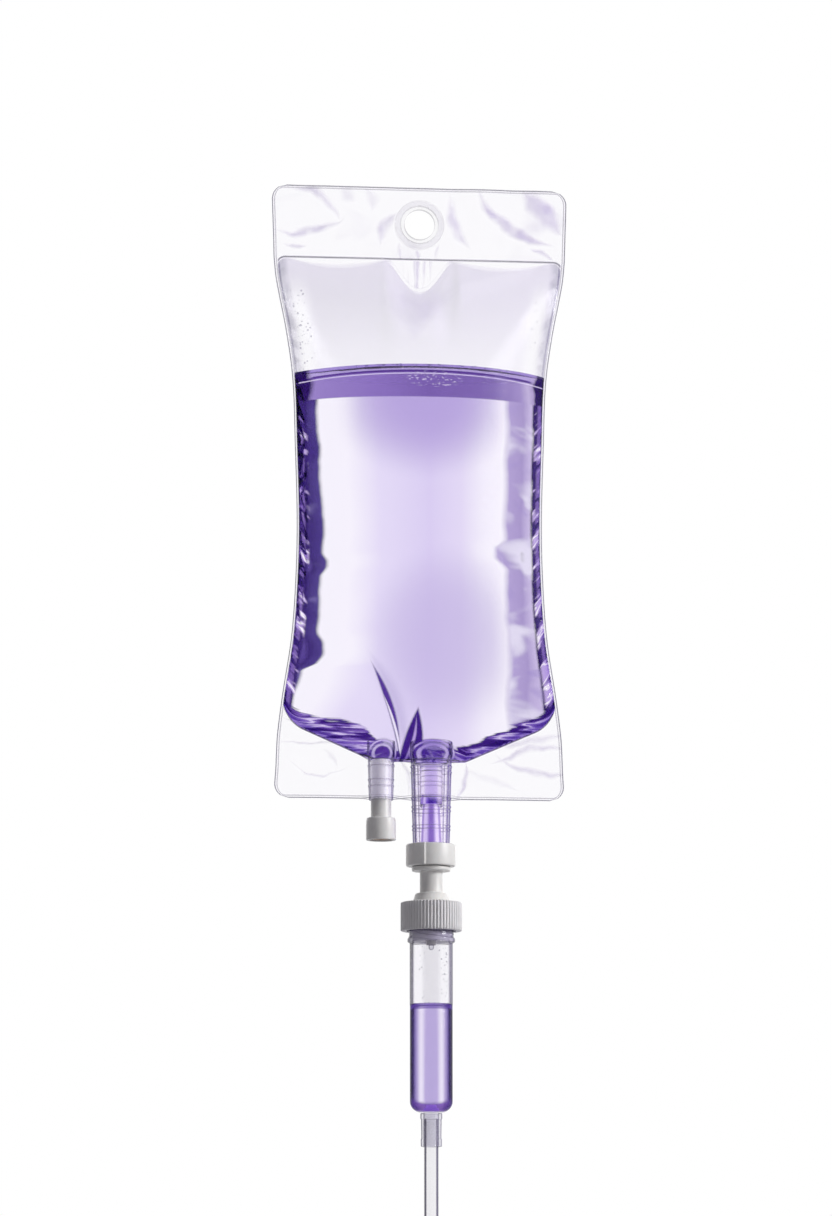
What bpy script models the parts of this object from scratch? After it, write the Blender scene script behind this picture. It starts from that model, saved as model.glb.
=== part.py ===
"""A filled intravenous fluid bag with its ports, drip chamber and line.

Metres, +Z up. The origin is the centre of the eyelet hole that the bag hangs by, the bag's front faces -Y,
and the bag hangs down along -Z.
"""

import math

import bmesh
import bpy
from mathutils import Matrix, Vector

PART_NAME = "iv_fluid_bag"

# Gaps between pieces that touch on the real bag
SEAT_GAP = 0.0003
WELD_GAP = 0.0003
FLUID_GAP = 0.0005
WRAP_GAP = 0.0004
TURN_GAP = 0.0003

# Film envelope
FILM_WIDTH = 0.115
FILM_LENGTH = 0.245
FILM_THICKNESS = 0.0004
FILM_CORNER_RADIUS = 0.006
EYELET_BELOW_TOP = 0.015
TOP_WELD_BELOW_EYELET = 0.014
BOTTOM_WELD_HEIGHT = 0.014
SIDE_WELD_WIDTH = 0.0015
POCKET_THICKNESS = 0.054
EDGE_DRAW_IN = 0.0102
EYELET_DIP_DEPTH = 0.012
EYELET_DIP_HALF_WIDTH = 0.015
EYELET_DIP_FLAT_SHARE = 0.45
EYELET_DIP_FADE = 0.036
CORNER_WELD_RISE = 0.020
CORNER_RISE_FADE = 0.040
TOP_FLARE_SHARE = 1 / 6
BOTTOM_FLARE_SHARE = 1 / 12
WRAP_FOOT_SHARE = 1.45
FLUID_LEVEL_BELOW_EYELET = 0.0615
FLUID_EDGE_DEPTH = 0.00125

# Rows and columns of the film and the fluid
DIP_ROWS = 3
AIR_ROWS = 4
FLUID_ROWS = 9
PORT_ROWS = 5
LEFT_COLUMNS = 5
PORT_COLUMNS = 15
RIGHT_COLUMNS = 6
FLUID_COLUMNS = 18
LEFT_WRAP_SHARE = 1.6
RIGHT_WRAP_SHARE = 1.5
SLOPE_STEP = 0.0005

# How the filled bag narrows and swells on the way down: share of the pocket's depth,
# share of the edge's draw-in, share of the full thickness
POCKET_STATIONS = (
    (0.00, 0.09, 0.00),
    (0.04, 0.16, 0.32),
    (0.08, 0.30, 0.54),
    (0.15, 0.56, 0.76),
    (0.24, 0.79, 0.91),
    (0.37, 0.90, 0.98),
    (0.53, 1.00, 1.00),
    (0.65, 0.94, 0.97),
    (0.76, 0.76, 0.90),
    (0.87, 0.38, 0.65),
    (0.95, 0.15, 0.36),
    (1.00, 0.09, 0.00),
)

# Eyelet grommet
EYELET_HOLE_RADIUS = 0.00605
EYELET_FLANGE_RADIUS = 0.00985
EYELET_BARREL_WALL = 0.0014
EYELET_FLANGE_THICKNESS = 0.0007
EYELET_EDGE_CHAMFER = 0.0003

# Additive port: clear sleeve, white injection body, rubber septum
ADDITIVE_PORT_X = -0.0152
ADDITIVE_TUBE_TOP_RADIUS = 0.0054
ADDITIVE_TUBE_END_RADIUS = 0.0048
ADDITIVE_TUBE_WALL = 0.0005
PORT_TUBE_INSIDE_LENGTH = 0.023
INJECTION_STEM_BELOW_FILM = 0.0075
INJECTION_STEM_OVERLAP = 0.014
INJECTION_STEM_WALL = 0.0010
INJECTION_CUP_RADIUS = 0.00585
INJECTION_CUP_HEIGHT = 0.0088
INJECTION_CUP_WALL = 0.0012
INJECTION_CUP_FLOOR = 0.0016
SEPTUM_RECESS = 0.0006

# Outlet port: clear tapered tube, membrane tube, pierced membrane, white collar
OUTLET_PORT_X = 0.0046
OUTLET_TUBE_TOP_RADIUS = 0.0083
OUTLET_TUBE_END_RADIUS = 0.00725
OUTLET_TUBE_WALL = 0.0008
OUTLET_TUBE_BELOW_FILM = 0.0174
MEMBRANE_TUBE_OVERLAP = 0.031
MEMBRANE_TUBE_BELOW_OUTLET = 0.0038
MEMBRANE_BELOW_TUBE_TOP = 0.016
MEMBRANE_THICKNESS = 0.0006
COLLAR_RADIUS = 0.0099
COLLAR_HEIGHT = 0.0087
COLLAR_EDGE_RADIUS = 0.0007

# Spike
SPIKE_RADIUS = 0.00445
SPIKE_TIP_RADIUS = 0.0026
SPIKE_LENGTH_IN_PORT = 0.0315
SPIKE_POINT_LENGTH = 0.0075
SPIKE_SHAFT_END_SHARE = 0.4
SPIKE_BORE_RADIUS = 0.0013
STOP_FLANGE_RADIUS = 0.0076
STOP_FLANGE_THICKNESS = 0.0016
STOP_FLANGE_EDGE = 0.0004
NECK_LENGTH = 0.0087
SHOULDER_TOP_RADIUS = 0.0061
SHOULDER_END_RADIUS = 0.0072
SHOULDER_HEIGHT = 0.0030
DOME_RADIUS = 0.00985
DOME_HEIGHT = 0.0012
CAPTIVE_FLANGE_RADIUS = 0.0107
CAPTIVE_FLANGE_THICKNESS = 0.0014
DROP_FORMER_RADIUS = 0.0021
DROP_FORMER_END_RADIUS = 0.0014
DROP_FORMER_LENGTH = 0.0140

# Ribbed ring
RING_RADIUS = 0.0120
RING_HEIGHT = 0.0112
RING_LIP_THICKNESS = 0.0010
RING_RIB_COUNT = 56
RING_RIB_DEPTH = 0.00042
RING_RIB_FLAT = (0.3, 0.7)
RING_EDGE_BEVEL = 0.0004

# Drip chamber
GASKET_THICKNESS = 0.0010
GASKET_WIDTH = 0.00195
CHAMBER_RADIUS = 0.00845
CHAMBER_WALL = 0.00065
CHAMBER_NECK_RADIUS = 0.0087
CHAMBER_LIP_RADIUS = 0.00935
CHAMBER_NECK_LENGTH = 0.0112
CHAMBER_LIP_HEIGHT = 0.0012
CHAMBER_LENGTH = 0.0780
CHAMBER_CORNER_RADIUS = 0.0050
CHAMBER_FLOOR = 0.0009
CHAMBER_FLUID_HEIGHT = 0.0412
OUTLET_BORE_RADIUS = 0.0012
OUTLET_STUB_LENGTH = 0.0020
FILTER_RADIUS = 0.0028
FILTER_HEIGHT = 0.0024
SLEEVE_LENGTH = 0.0128
SLEEVE_TOP_RADIUS = 0.0043
SLEEVE_END_RADIUS = 0.0041

# Line
LINE_RADIUS = 0.0028
COIL_INNER_RADIUS = 0.0224
COIL_TURNS_DEEP = 4
COIL_TURNS_WIDE = 2
COIL_BELOW_EYELET = 0.5241
TIE_WIDTH = 0.0060
TIE_THICKNESS = 0.0010

# Roller clamp
CLAMP_TOP_BELOW_EYELET = 0.4050
CLAMP_LENGTH = 0.0480
CLAMP_WALL = 0.0015
CLAMP_END_WALL = 0.0045
CLAMP_SIDE_DEPTH = 0.0165
CLAMP_BACK_WALL = 0.0018
CLAMP_INNER_WIDTH = 0.0090
CLAMP_EDGE_BEVEL = 0.0006
ROLLER_RADIUS = 0.0080
ROLLER_NOTCHES = 16
ROLLER_NOTCH_DEPTH = 0.0006
ROLLER_NOTCH_FLAT = (0.2, 0.7, 0.9)
ROLLER_AXLE_RADIUS = 0.0016
ROLLER_TRAVEL = 0.0220
ROLLER_GUIDE_ANGLE = math.radians(5.0)

# End connector
HUB_SOCKET_RADIUS = 0.0044
HUB_SOCKET_LENGTH = 0.0090
HUB_FLANGE_RADIUS = 0.0047
HUB_FLANGE_THICKNESS = 0.0012
HUB_NECK_RADIUS = 0.0029
HUB_NECK_LENGTH = 0.0080
HUB_TIP_RADIUS = 0.0021
HUB_TIP_END_RADIUS = 0.0019
HUB_TIP_LENGTH = 0.0090
HUB_BORE_RADIUS = 0.0011
LOCK_RADIUS = 0.0057
LOCK_LENGTH = 0.0120
LOCK_ROOF = 0.0015
LOCK_WALL = 0.0010
CAP_RADIUS = 0.0050
CAP_WALL = 0.0011
CAP_FLOOR = 0.0018
CAP_SKIRT_LENGTH = 0.0090

# The line's route from the sleeve to the coil, and from the coil to the connector:
# sideways from the outlet port's axis, and height
LINE_ROUTE = (
    (0.0, -0.3552),
    (0.0, -0.3720),
    (0.0, -0.3900),
    (0.0, -0.4080),
    (0.0, -0.4260),
    (0.0, -0.4440),
    (0.0, -0.4550),
    (0.0002, -0.4630),
    (0.0012, -0.4695),
    (0.0030, -0.4738),
    (0.0053, -0.4773),
)
TAIL_ROUTE = (
    (0.0420, -0.5464),
    (0.0420, -0.5560),
    (0.0419, -0.5650),
    (0.0417, -0.5740),
    (0.0416, -0.5755),
)
LINE_POINT_SPACING = 0.0085

ROUND_STEPS = 24
SMALL_STEPS = 18
COIL_STEPS = 40
SHARP_ANGLE = math.radians(35.0)

# Heights that several pieces share
FILM_TOP_Z = EYELET_BELOW_TOP
FILM_BOTTOM_Z = FILM_TOP_Z - FILM_LENGTH
POCKET_TOP_Z = -TOP_WELD_BELOW_EYELET
POCKET_BOTTOM_Z = FILM_BOTTOM_Z + BOTTOM_WELD_HEIGHT
FLUID_LEVEL_Z = -FLUID_LEVEL_BELOW_EYELET
PORT_TOP_Z = FILM_BOTTOM_Z + PORT_TUBE_INSIDE_LENGTH
ADDITIVE_TUBE_END_Z = FILM_BOTTOM_Z - 2 * SEAT_GAP
OUTLET_TUBE_END_Z = FILM_BOTTOM_Z - OUTLET_TUBE_BELOW_FILM
MEMBRANE_TUBE_TOP_Z = OUTLET_TUBE_END_Z + MEMBRANE_TUBE_OVERLAP
MEMBRANE_TUBE_END_Z = OUTLET_TUBE_END_Z - MEMBRANE_TUBE_BELOW_OUTLET
MEMBRANE_Z = MEMBRANE_TUBE_TOP_Z - MEMBRANE_BELOW_TUBE_TOP
COLLAR_TOP_Z = OUTLET_TUBE_END_Z - SEAT_GAP
COLLAR_END_Z = COLLAR_TOP_Z - COLLAR_HEIGHT
STOP_FLANGE_TOP_Z = COLLAR_END_Z - SEAT_GAP
STOP_FLANGE_END_Z = STOP_FLANGE_TOP_Z - STOP_FLANGE_THICKNESS
SPIKE_TIP_Z = STOP_FLANGE_TOP_Z + SPIKE_LENGTH_IN_PORT
SHOULDER_TOP_Z = STOP_FLANGE_END_Z - NECK_LENGTH
SHOULDER_END_Z = SHOULDER_TOP_Z - SHOULDER_HEIGHT
RING_TOP_Z = SHOULDER_END_Z - 0.5 * DOME_HEIGHT
RING_LIP_END_Z = RING_TOP_Z - RING_LIP_THICKNESS
CAPTIVE_FLANGE_TOP_Z = RING_LIP_END_Z - TURN_GAP
CAPTIVE_FLANGE_END_Z = CAPTIVE_FLANGE_TOP_Z - CAPTIVE_FLANGE_THICKNESS
RING_END_Z = RING_TOP_Z - RING_HEIGHT
GASKET_TOP_Z = CAPTIVE_FLANGE_END_Z - SEAT_GAP
CHAMBER_TOP_Z = GASKET_TOP_Z - GASKET_THICKNESS - SEAT_GAP
CHAMBER_LIP_END_Z = CHAMBER_TOP_Z - CHAMBER_NECK_LENGTH
CHAMBER_END_Z = CHAMBER_TOP_Z - CHAMBER_LENGTH
CHAMBER_INSIDE_RADIUS = CHAMBER_RADIUS - CHAMBER_WALL
OUTLET_STUB_END_Z = CHAMBER_END_Z - OUTLET_STUB_LENGTH
SLEEVE_TOP_Z = CHAMBER_END_Z - SEAT_GAP
SLEEVE_BORE_RADIUS = LINE_RADIUS + SEAT_GAP
COIL_Z = -COIL_BELOW_EYELET
COIL_OUTER_RADIUS = COIL_INNER_RADIUS + COIL_TURNS_DEEP * 2 * LINE_RADIUS
COIL_HALF_WIDTH = COIL_TURNS_WIDE * LINE_RADIUS
TAIL_X = OUTLET_PORT_X + TAIL_ROUTE[-1][0]
TAIL_END_Z = TAIL_ROUTE[-1][1]


def clear_scene():
    for scene_object in list(bpy.data.objects):
        bpy.data.objects.remove(scene_object, do_unlink=True)
    for name in (PART_NAME, PART_NAME + "_cutters"):
        old = bpy.data.collections.get(name)
        if old:
            bpy.data.collections.remove(old)


def new_collection(name):
    collection = bpy.data.collections.new(name)
    bpy.context.scene.collection.children.link(collection)
    return collection


def plastic(name, color, roughness=0.3, alpha=1.0):
    """One Principled material for one sub-part."""
    material = bpy.data.materials.new(name)
    material.use_nodes = True
    shader = material.node_tree.nodes["Principled BSDF"]
    shader.inputs["Base Color"].default_value = (*color, 1.0)
    shader.inputs["Roughness"].default_value = roughness
    shader.inputs["Metallic"].default_value = 0.0
    shader.inputs["Alpha"].default_value = alpha
    return material


def clear_film(name):
    return plastic(name, (0.86, 0.85, 0.92), 0.15, 0.35)


def clear_rigid(name):
    return plastic(name, (0.80, 0.79, 0.88), 0.12, 0.45)


def white_plastic(name):
    return plastic(name, (0.82, 0.81, 0.79), 0.35)


def violet_fluid(name):
    return plastic(name, (0.55, 0.45, 0.80), 0.05, 0.7)


def rubber(name, color=(0.55, 0.40, 0.30)):
    return plastic(name, color, 0.7)


def shade(mesh):
    mesh.shade_smooth()
    mesh.set_sharp_from_angle(angle=SHARP_ANGLE)


def add_part(name, mesh, material, location=(0.0, 0.0, 0.0), parent=None):
    """Links a mesh as one named sub-part; the location is in the part's own frame."""
    part = bpy.data.objects.new(name, mesh)
    PARTS.objects.link(part)
    mesh.materials.clear()
    mesh.materials.append(material)
    part.location = location
    if parent:
        part.parent = parent
        part.matrix_parent_inverse = parent.matrix_world.inverted()
    return part


def axis_empty(name, location):
    """An empty on a joint's axis that carries the pieces that move on it."""
    empty = bpy.data.objects.new(name, None)
    empty.empty_display_size = 0.01
    empty.location = location
    PARTS.objects.link(empty)
    bpy.context.view_layer.update()
    return empty


def hide_cutter(cutter):
    cutter.hide_render = True
    cutter.display_type = "WIRE"


def cut(part, cutter):
    modifier = part.modifiers.new("cut_" + cutter.name, "BOOLEAN")
    modifier.operation = "DIFFERENCE"
    modifier.solver = "EXACT"
    modifier.object = cutter


def join(part, other):
    modifier = part.modifiers.new("join_" + other.name, "BOOLEAN")
    modifier.operation = "UNION"
    modifier.solver = "EXACT"
    modifier.object = other


def revolve(target, steps):
    """Turns the target's profile of (radius, height) points about Z with a Screw modifier."""
    modifier = target.modifiers.new("turn", "SCREW")
    modifier.axis = "Z"
    modifier.angle = 2 * math.pi
    modifier.steps = steps
    modifier.render_steps = steps
    modifier.use_merge_vertices = True
    modifier.merge_threshold = 0.00001
    modifier.use_smooth_shade = True


def profile_mesh(name, profile, closed):
    mesh = bpy.data.meshes.new(name)
    points = [(radius, 0.0, height) for radius, height in profile]
    edges = [(i, i + 1) for i in range(len(points) - 1)]
    if closed:
        edges.append((len(points) - 1, 0))
    mesh.from_pydata(points, edges, [])
    return mesh


def turned(name, profile, material, x=0.0, steps=ROUND_STEPS, closed=False, parent=None, z=0.0):
    """A turned piece on the vertical line at x; a closed profile leaves a bore."""
    lowered = [(radius, height - z) for radius, height in profile]
    part = add_part(name, profile_mesh(name, lowered, closed), material, (x, 0.0, z), parent)
    revolve(part, steps)
    return part


def turned_cutter(name, profile, x=0.0, steps=ROUND_STEPS):
    cutter = bpy.data.objects.new(name, profile_mesh(name, profile, False))
    CUTTERS.objects.link(cutter)
    cutter.location = (x, 0.0, 0.0)
    revolve(cutter, steps)
    hide_cutter(cutter)
    return cutter


def box_cutter(name, low, high):
    """A box between two corners."""
    size = [b - a for a, b in zip(low, high)]
    centre = [(a + b) / 2 for a, b in zip(low, high)]
    bm = bmesh.new()
    bmesh.ops.create_cube(bm, size=1.0, matrix=Matrix.Diagonal((*size, 1.0)))
    mesh = bpy.data.meshes.new(name)
    bm.to_mesh(mesh)
    bm.free()
    cutter = bpy.data.objects.new(name, mesh)
    CUTTERS.objects.link(cutter)
    cutter.location = centre
    hide_cutter(cutter)
    return cutter


def curve_to_mesh(curve_object, name):
    """Bakes a curve object into a welded mesh, so that Booleans can read it."""
    bpy.context.view_layer.update()
    graph = bpy.context.evaluated_depsgraph_get()
    mesh = bpy.data.meshes.new_from_object(curve_object.evaluated_get(graph))
    mesh.name = name
    bm = bmesh.new()
    bm.from_mesh(mesh)
    bmesh.ops.remove_doubles(bm, verts=bm.verts, dist=0.000001)
    bm.to_mesh(mesh)
    bm.free()
    bpy.data.objects.remove(curve_object, do_unlink=True)
    return mesh


def flat_outline(name, loops, half_thickness, collection):
    """A flat plate in the XY plane from one or more closed outlines."""
    curve = bpy.data.curves.new(name, "CURVE")
    curve.dimensions = "2D"
    curve.fill_mode = "BOTH"
    curve.extrude = half_thickness
    for loop in loops:
        spline = curve.splines.new("POLY")
        spline.points.add(len(loop) - 1)
        for point, (x, y) in zip(spline.points, loop):
            point.co = (x, y, 0.0, 1.0)
        spline.use_cyclic_u = True
    plate = bpy.data.objects.new(name, curve)
    collection.objects.link(plate)
    return plate


def smoothstep(value):
    t = min(max(value, 0.0), 1.0)
    return t * t * (3 - 2 * t)


def station_value(share, column):
    """Smooth reading of the pocket's stations at a share of its depth."""
    stations = POCKET_STATIONS
    if share <= stations[0][0]:
        return stations[0][column]
    if share >= stations[-1][0]:
        return stations[-1][column]
    index = 0
    while stations[index + 1][0] < share:
        index += 1
    a, b = stations[index], stations[index + 1]
    before = stations[max(index - 1, 0)]
    after = stations[min(index + 2, len(stations) - 1)]
    span = b[0] - a[0]
    t = (share - a[0]) / span
    slope_a = (b[column] - before[column]) / (b[0] - before[0]) * span
    slope_b = (after[column] - a[column]) / (after[0] - a[0]) * span
    t2, t3 = t * t, t * t * t
    return (
        (2 * t3 - 3 * t2 + 1) * a[column]
        + (t3 - 2 * t2 + t) * slope_a
        + (3 * t2 - 2 * t3) * b[column]
        + (t3 - t2) * slope_b
    )


def pocket_share(z):
    return (POCKET_TOP_Z - z) / (POCKET_TOP_Z - POCKET_BOTTOM_Z)


def film_half_width(z):
    """Half the film's width at a height, with the filled bag's waist and round corners."""
    share = pocket_share(z)
    if share < 0:
        draw = POCKET_STATIONS[0][1] * smoothstep(1 + share / TOP_FLARE_SHARE)
    elif share > 1:
        draw = POCKET_STATIONS[-1][1] * smoothstep(1 - (share - 1) / BOTTOM_FLARE_SHARE)
    else:
        draw = station_value(share, 1)
    half = FILM_WIDTH / 2 - EDGE_DRAW_IN * draw
    from_end = min(FILM_TOP_Z - z, z - FILM_BOTTOM_Z)
    if from_end < FILM_CORNER_RADIUS:
        short = FILM_CORNER_RADIUS - max(from_end, 0.0)
        half -= FILM_CORNER_RADIUS - math.sqrt(FILM_CORNER_RADIUS ** 2 - short ** 2)
    return half


def segment_rise(x, half_width, rise):
    """Height of a circular segment of the given half chord and rise at x."""
    if abs(x) >= half_width or rise <= 0:
        return 0.0
    radius = (half_width ** 2 + rise ** 2) / (2 * rise)
    return math.sqrt(radius ** 2 - x ** 2) - (radius - rise)


def pocket_half_thickness(x, z):
    """Half the filled pocket's thickness at a point of the film."""
    flat = EYELET_DIP_FLAT_SHARE
    dip = EYELET_DIP_DEPTH * (1 - smoothstep((abs(x) / EYELET_DIP_HALF_WIDTH - flat) / (1 - flat)))
    dip *= 1 - smoothstep((POCKET_TOP_Z - z - EYELET_DIP_DEPTH) / EYELET_DIP_FADE)
    port_zone = (OUTLET_PORT_X - ADDITIVE_PORT_X) / 2 + OUTLET_TUBE_TOP_RADIUS
    side = max(abs(x) - port_zone, 0.0) / (FILM_WIDTH / 2 - port_zone)
    rise = CORNER_WELD_RISE * min(side, 1.0)
    rise *= 1 - smoothstep((z - POCKET_BOTTOM_Z - CORNER_WELD_RISE) / CORNER_RISE_FADE)
    share = pocket_share(z + dip - rise)
    if share <= 0 or share >= 1:
        return 0.0
    half_width = film_half_width(z) - SIDE_WELD_WIDTH
    return segment_rise(x, half_width, station_value(share, 2) * POCKET_THICKNESS / 2)


def tube_radius(z, top_z, end_z, top_radius, end_radius):
    return top_radius + (end_radius - top_radius) * (top_z - z) / (top_z - end_z)


def outlet_tube_radius(z):
    return tube_radius(z, PORT_TOP_Z, OUTLET_TUBE_END_Z, OUTLET_TUBE_TOP_RADIUS, OUTLET_TUBE_END_RADIUS)


def additive_tube_radius(z):
    return tube_radius(z, PORT_TOP_Z, ADDITIVE_TUBE_END_Z, ADDITIVE_TUBE_TOP_RADIUS, ADDITIVE_TUBE_END_RADIUS)


def film_over_tube(offset, radius):
    """Height of a film drawn over a tube and down to the weld on both sides."""
    foot = WRAP_FOOT_SHARE * radius
    touch = radius ** 2 / foot
    distance = abs(offset)
    if distance >= foot:
        return 0.0
    if distance <= touch:
        return math.sqrt(radius ** 2 - distance ** 2)
    return math.sqrt(radius ** 2 - touch ** 2) * (foot - distance) / (foot - touch)


def film_half_thickness(x, z):
    """Distance from the weld plane to the film's inner face, without the weld gap."""
    height = pocket_half_thickness(x, z)
    if z < PORT_TOP_Z + OUTLET_TUBE_TOP_RADIUS:
        reach = smoothstep((PORT_TOP_Z + OUTLET_TUBE_TOP_RADIUS - z) / (OUTLET_TUBE_TOP_RADIUS / 2))
        tube_z = min(z, PORT_TOP_Z)
        outlet = film_over_tube(x - OUTLET_PORT_X, outlet_tube_radius(tube_z) + WRAP_GAP)
        additive = film_over_tube(x - ADDITIVE_PORT_X, additive_tube_radius(tube_z) + WRAP_GAP)
        height = max(height, outlet * reach, additive * reach)
    return height


def spread(start, end, count):
    return [start + (end - start) * i / count for i in range(count + 1)]


def film_rows():
    corner = FILM_CORNER_RADIUS
    corner_steps = [corner * (1 - math.cos(angle)) for angle in (0.0, math.pi / 4, math.pi / 2)]
    rows = [FILM_TOP_Z - step for step in corner_steps]
    dip_end = POCKET_TOP_Z - EYELET_DIP_DEPTH
    rows += spread(POCKET_TOP_Z, dip_end, DIP_ROWS)
    rows += spread(dip_end, FLUID_LEVEL_Z, AIR_ROWS)[1:]
    rows += spread(FLUID_LEVEL_Z, PORT_TOP_Z + 2 * OUTLET_TUBE_TOP_RADIUS, FLUID_ROWS)[1:]
    rows += spread(PORT_TOP_Z + 2 * OUTLET_TUBE_TOP_RADIUS, POCKET_BOTTOM_Z, PORT_ROWS)[1:]
    rows += [FILM_BOTTOM_Z + step for step in reversed(corner_steps)]
    return rows


def film_columns(half_width):
    """Column positions: even over the ports, and stretched to the edge outside them."""
    left = ADDITIVE_PORT_X - LEFT_WRAP_SHARE * ADDITIVE_TUBE_TOP_RADIUS
    right = OUTLET_PORT_X + RIGHT_WRAP_SHARE * OUTLET_TUBE_TOP_RADIUS
    columns = spread(-half_width, left, LEFT_COLUMNS)
    columns += spread(left, right, PORT_COLUMNS)[1:]
    columns += spread(right, half_width, RIGHT_COLUMNS)[1:]
    return columns


def film_mesh(name, side):
    """One film of the bag as an open sheet; side is -1 in front and 1 behind."""
    rows = film_rows()
    column_count = len(film_columns(FILM_WIDTH / 2))
    bm = bmesh.new()
    bmesh.ops.create_grid(bm, x_segments=column_count - 1, y_segments=len(rows) - 1, size=1.0)
    for vert in bm.verts:
        column = round((vert.co.x + 1) / 2 * (column_count - 1))
        row = round((1 - vert.co.y) / 2 * (len(rows) - 1))
        z = rows[row]
        x = film_columns(film_half_width(z))[column]
        vert.co = (x, side * (WELD_GAP / 2 + film_half_thickness(x, z)), z)
    bmesh.ops.recalc_face_normals(bm, faces=bm.faces)
    if sum(face.normal.y for face in bm.faces) * side < 0:
        bmesh.ops.reverse_faces(bm, faces=bm.faces)
    mesh = bpy.data.meshes.new(name)
    bm.to_mesh(mesh)
    bm.free()
    shade(mesh)
    return mesh


def make_films():
    radius = EYELET_HOLE_RADIUS + EYELET_BARREL_WALL + SEAT_GAP
    reach = POCKET_THICKNESS
    hole = turned_cutter("eyelet_cutter", [(0.0, reach), (radius, reach), (radius, -reach), (0.0, -reach)])
    hole.rotation_euler = (math.pi / 2, 0.0, 0.0)
    for name, side in (("front_film", -1), ("back_film", 1)):
        film = add_part(name, film_mesh(name, side), clear_film(name))
        wall = film.modifiers.new("film_wall", "SOLIDIFY")
        wall.thickness = FILM_THICKNESS
        wall.offset = 1.0
        wall.use_even_offset = True
        cut(film, hole)


def make_eyelet_ring():
    """A grommet turned about Y that clamps both films round the hole."""
    hole = EYELET_HOLE_RADIUS
    barrel = hole + EYELET_BARREL_WALL
    flange = EYELET_FLANGE_RADIUS
    groove = WELD_GAP / 2 + FILM_THICKNESS + SEAT_GAP
    face = groove + EYELET_FLANGE_THICKNESS
    soft = EYELET_EDGE_CHAMFER
    profile = [
        (hole + soft, face), (flange - soft, face), (flange, face - soft), (flange, groove), (barrel, groove),
        (barrel, -groove), (flange, -groove), (flange, -face + soft), (flange - soft, -face),
        (hole + soft, -face), (hole, -face + soft), (hole, face - soft),
    ]
    ring = turned("eyelet_ring", profile, clear_rigid("eyelet_ring"), closed=True)
    ring.rotation_euler = (math.pi / 2, 0.0, 0.0)


def film_slope(x, z):
    step = SLOPE_STEP
    across = (film_half_thickness(x + step, z) - film_half_thickness(x - step, z)) / (2 * step)
    down = (film_half_thickness(x, z + step) - film_half_thickness(x, z - step)) / (2 * step)
    return across, down


def make_bag_fluid():
    """The fluid as a loft of lens sections, one for each row of the film below the level."""
    end_z = PORT_TOP_Z + SEAT_GAP
    rows = [z for z in film_rows() if end_z < z <= FLUID_LEVEL_Z + 1e-9] + [end_z]
    loops = []
    bm = bmesh.new()
    for z in rows:
        half = pocket_reach(z) - 2 * FLUID_GAP
        xs = [half * math.sin(math.pi / 2 * s) for s in spread(-1.0, 1.0, FLUID_COLUMNS)]
        depths = [fluid_half_thickness(x, z) for x in xs]
        front = [bm.verts.new((x, -depth, z)) for x, depth in zip(xs, depths)]
        back = [bm.verts.new((x, depth, z)) for x, depth in zip(reversed(xs), reversed(depths))]
        loops.append(front + back)
    for upper, lower in zip(loops, loops[1:]):
        for i in range(len(upper)):
            j = (i + 1) % len(upper)
            bm.faces.new((upper[i], lower[i], lower[j], upper[j]))
    bm.faces.new(loops[0])
    bm.faces.new(list(reversed(loops[-1])))
    bmesh.ops.recalc_face_normals(bm, faces=bm.faces)
    mesh = bpy.data.meshes.new("bag_fluid")
    bm.to_mesh(mesh)
    bm.free()
    shade(mesh)
    add_part("bag_fluid", mesh, violet_fluid("bag_fluid"))


def fluid_half_thickness(x, z):
    """Half the fluid's thickness, held clear of the film along the film's own normal."""
    across, down = film_slope(x, z)
    clear = FLUID_GAP * math.sqrt(1 + across ** 2 + down ** 2)
    return max(film_half_thickness(x, z) + WELD_GAP / 2 - clear, FLUID_GAP / 2)


def pocket_reach(z):
    """How far out the pocket is deep enough to hold the fluid at a height."""
    x = film_half_width(z) - SIDE_WELD_WIDTH
    while film_half_thickness(x, z) < FLUID_EDGE_DEPTH and x > OUTLET_PORT_X:
        x -= FLUID_GAP / 2
    return x


def make_additive_port():
    x = ADDITIVE_PORT_X
    wall = ADDITIVE_TUBE_WALL
    top, end = PORT_TOP_Z, ADDITIVE_TUBE_END_Z
    turned("additive_port_tube", [
        (ADDITIVE_TUBE_TOP_RADIUS, top), (ADDITIVE_TUBE_END_RADIUS, end),
        (ADDITIVE_TUBE_END_RADIUS - wall, end), (ADDITIVE_TUBE_TOP_RADIUS - wall, top),
    ], clear_rigid("additive_port_tube"), x, closed=True)
    stem = ADDITIVE_TUBE_END_RADIUS - wall - SEAT_GAP
    bore = stem - INJECTION_STEM_WALL
    cup = INJECTION_CUP_RADIUS
    stem_top = end + INJECTION_STEM_OVERLAP
    cup_top = FILM_BOTTOM_Z - INJECTION_STEM_BELOW_FILM
    cup_end = cup_top - INJECTION_CUP_HEIGHT
    recess = cup - INJECTION_CUP_WALL
    recess_top = cup_top - INJECTION_CUP_FLOOR
    soft = COLLAR_EDGE_RADIUS
    turned("injection_port_body", [
        (stem, stem_top), (stem, cup_top), (cup - soft, cup_top), (cup, cup_top - soft), (cup, cup_end),
        (recess, cup_end), (recess, recess_top), (bore, recess_top), (bore, stem_top),
    ], white_plastic("injection_port_body"), x, closed=True)
    septum = recess - SEAT_GAP
    septum_top = recess_top - SEAT_GAP
    septum_end = cup_end + SEPTUM_RECESS
    crown = septum / 2
    turned("injection_septum", [
        (0.0, septum_top), (septum, septum_top), (septum, septum_end),
        (crown, septum_end - SEPTUM_RECESS / 2), (0.0, septum_end - SEPTUM_RECESS / 2),
    ], rubber("injection_septum"), x, SMALL_STEPS)


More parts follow.
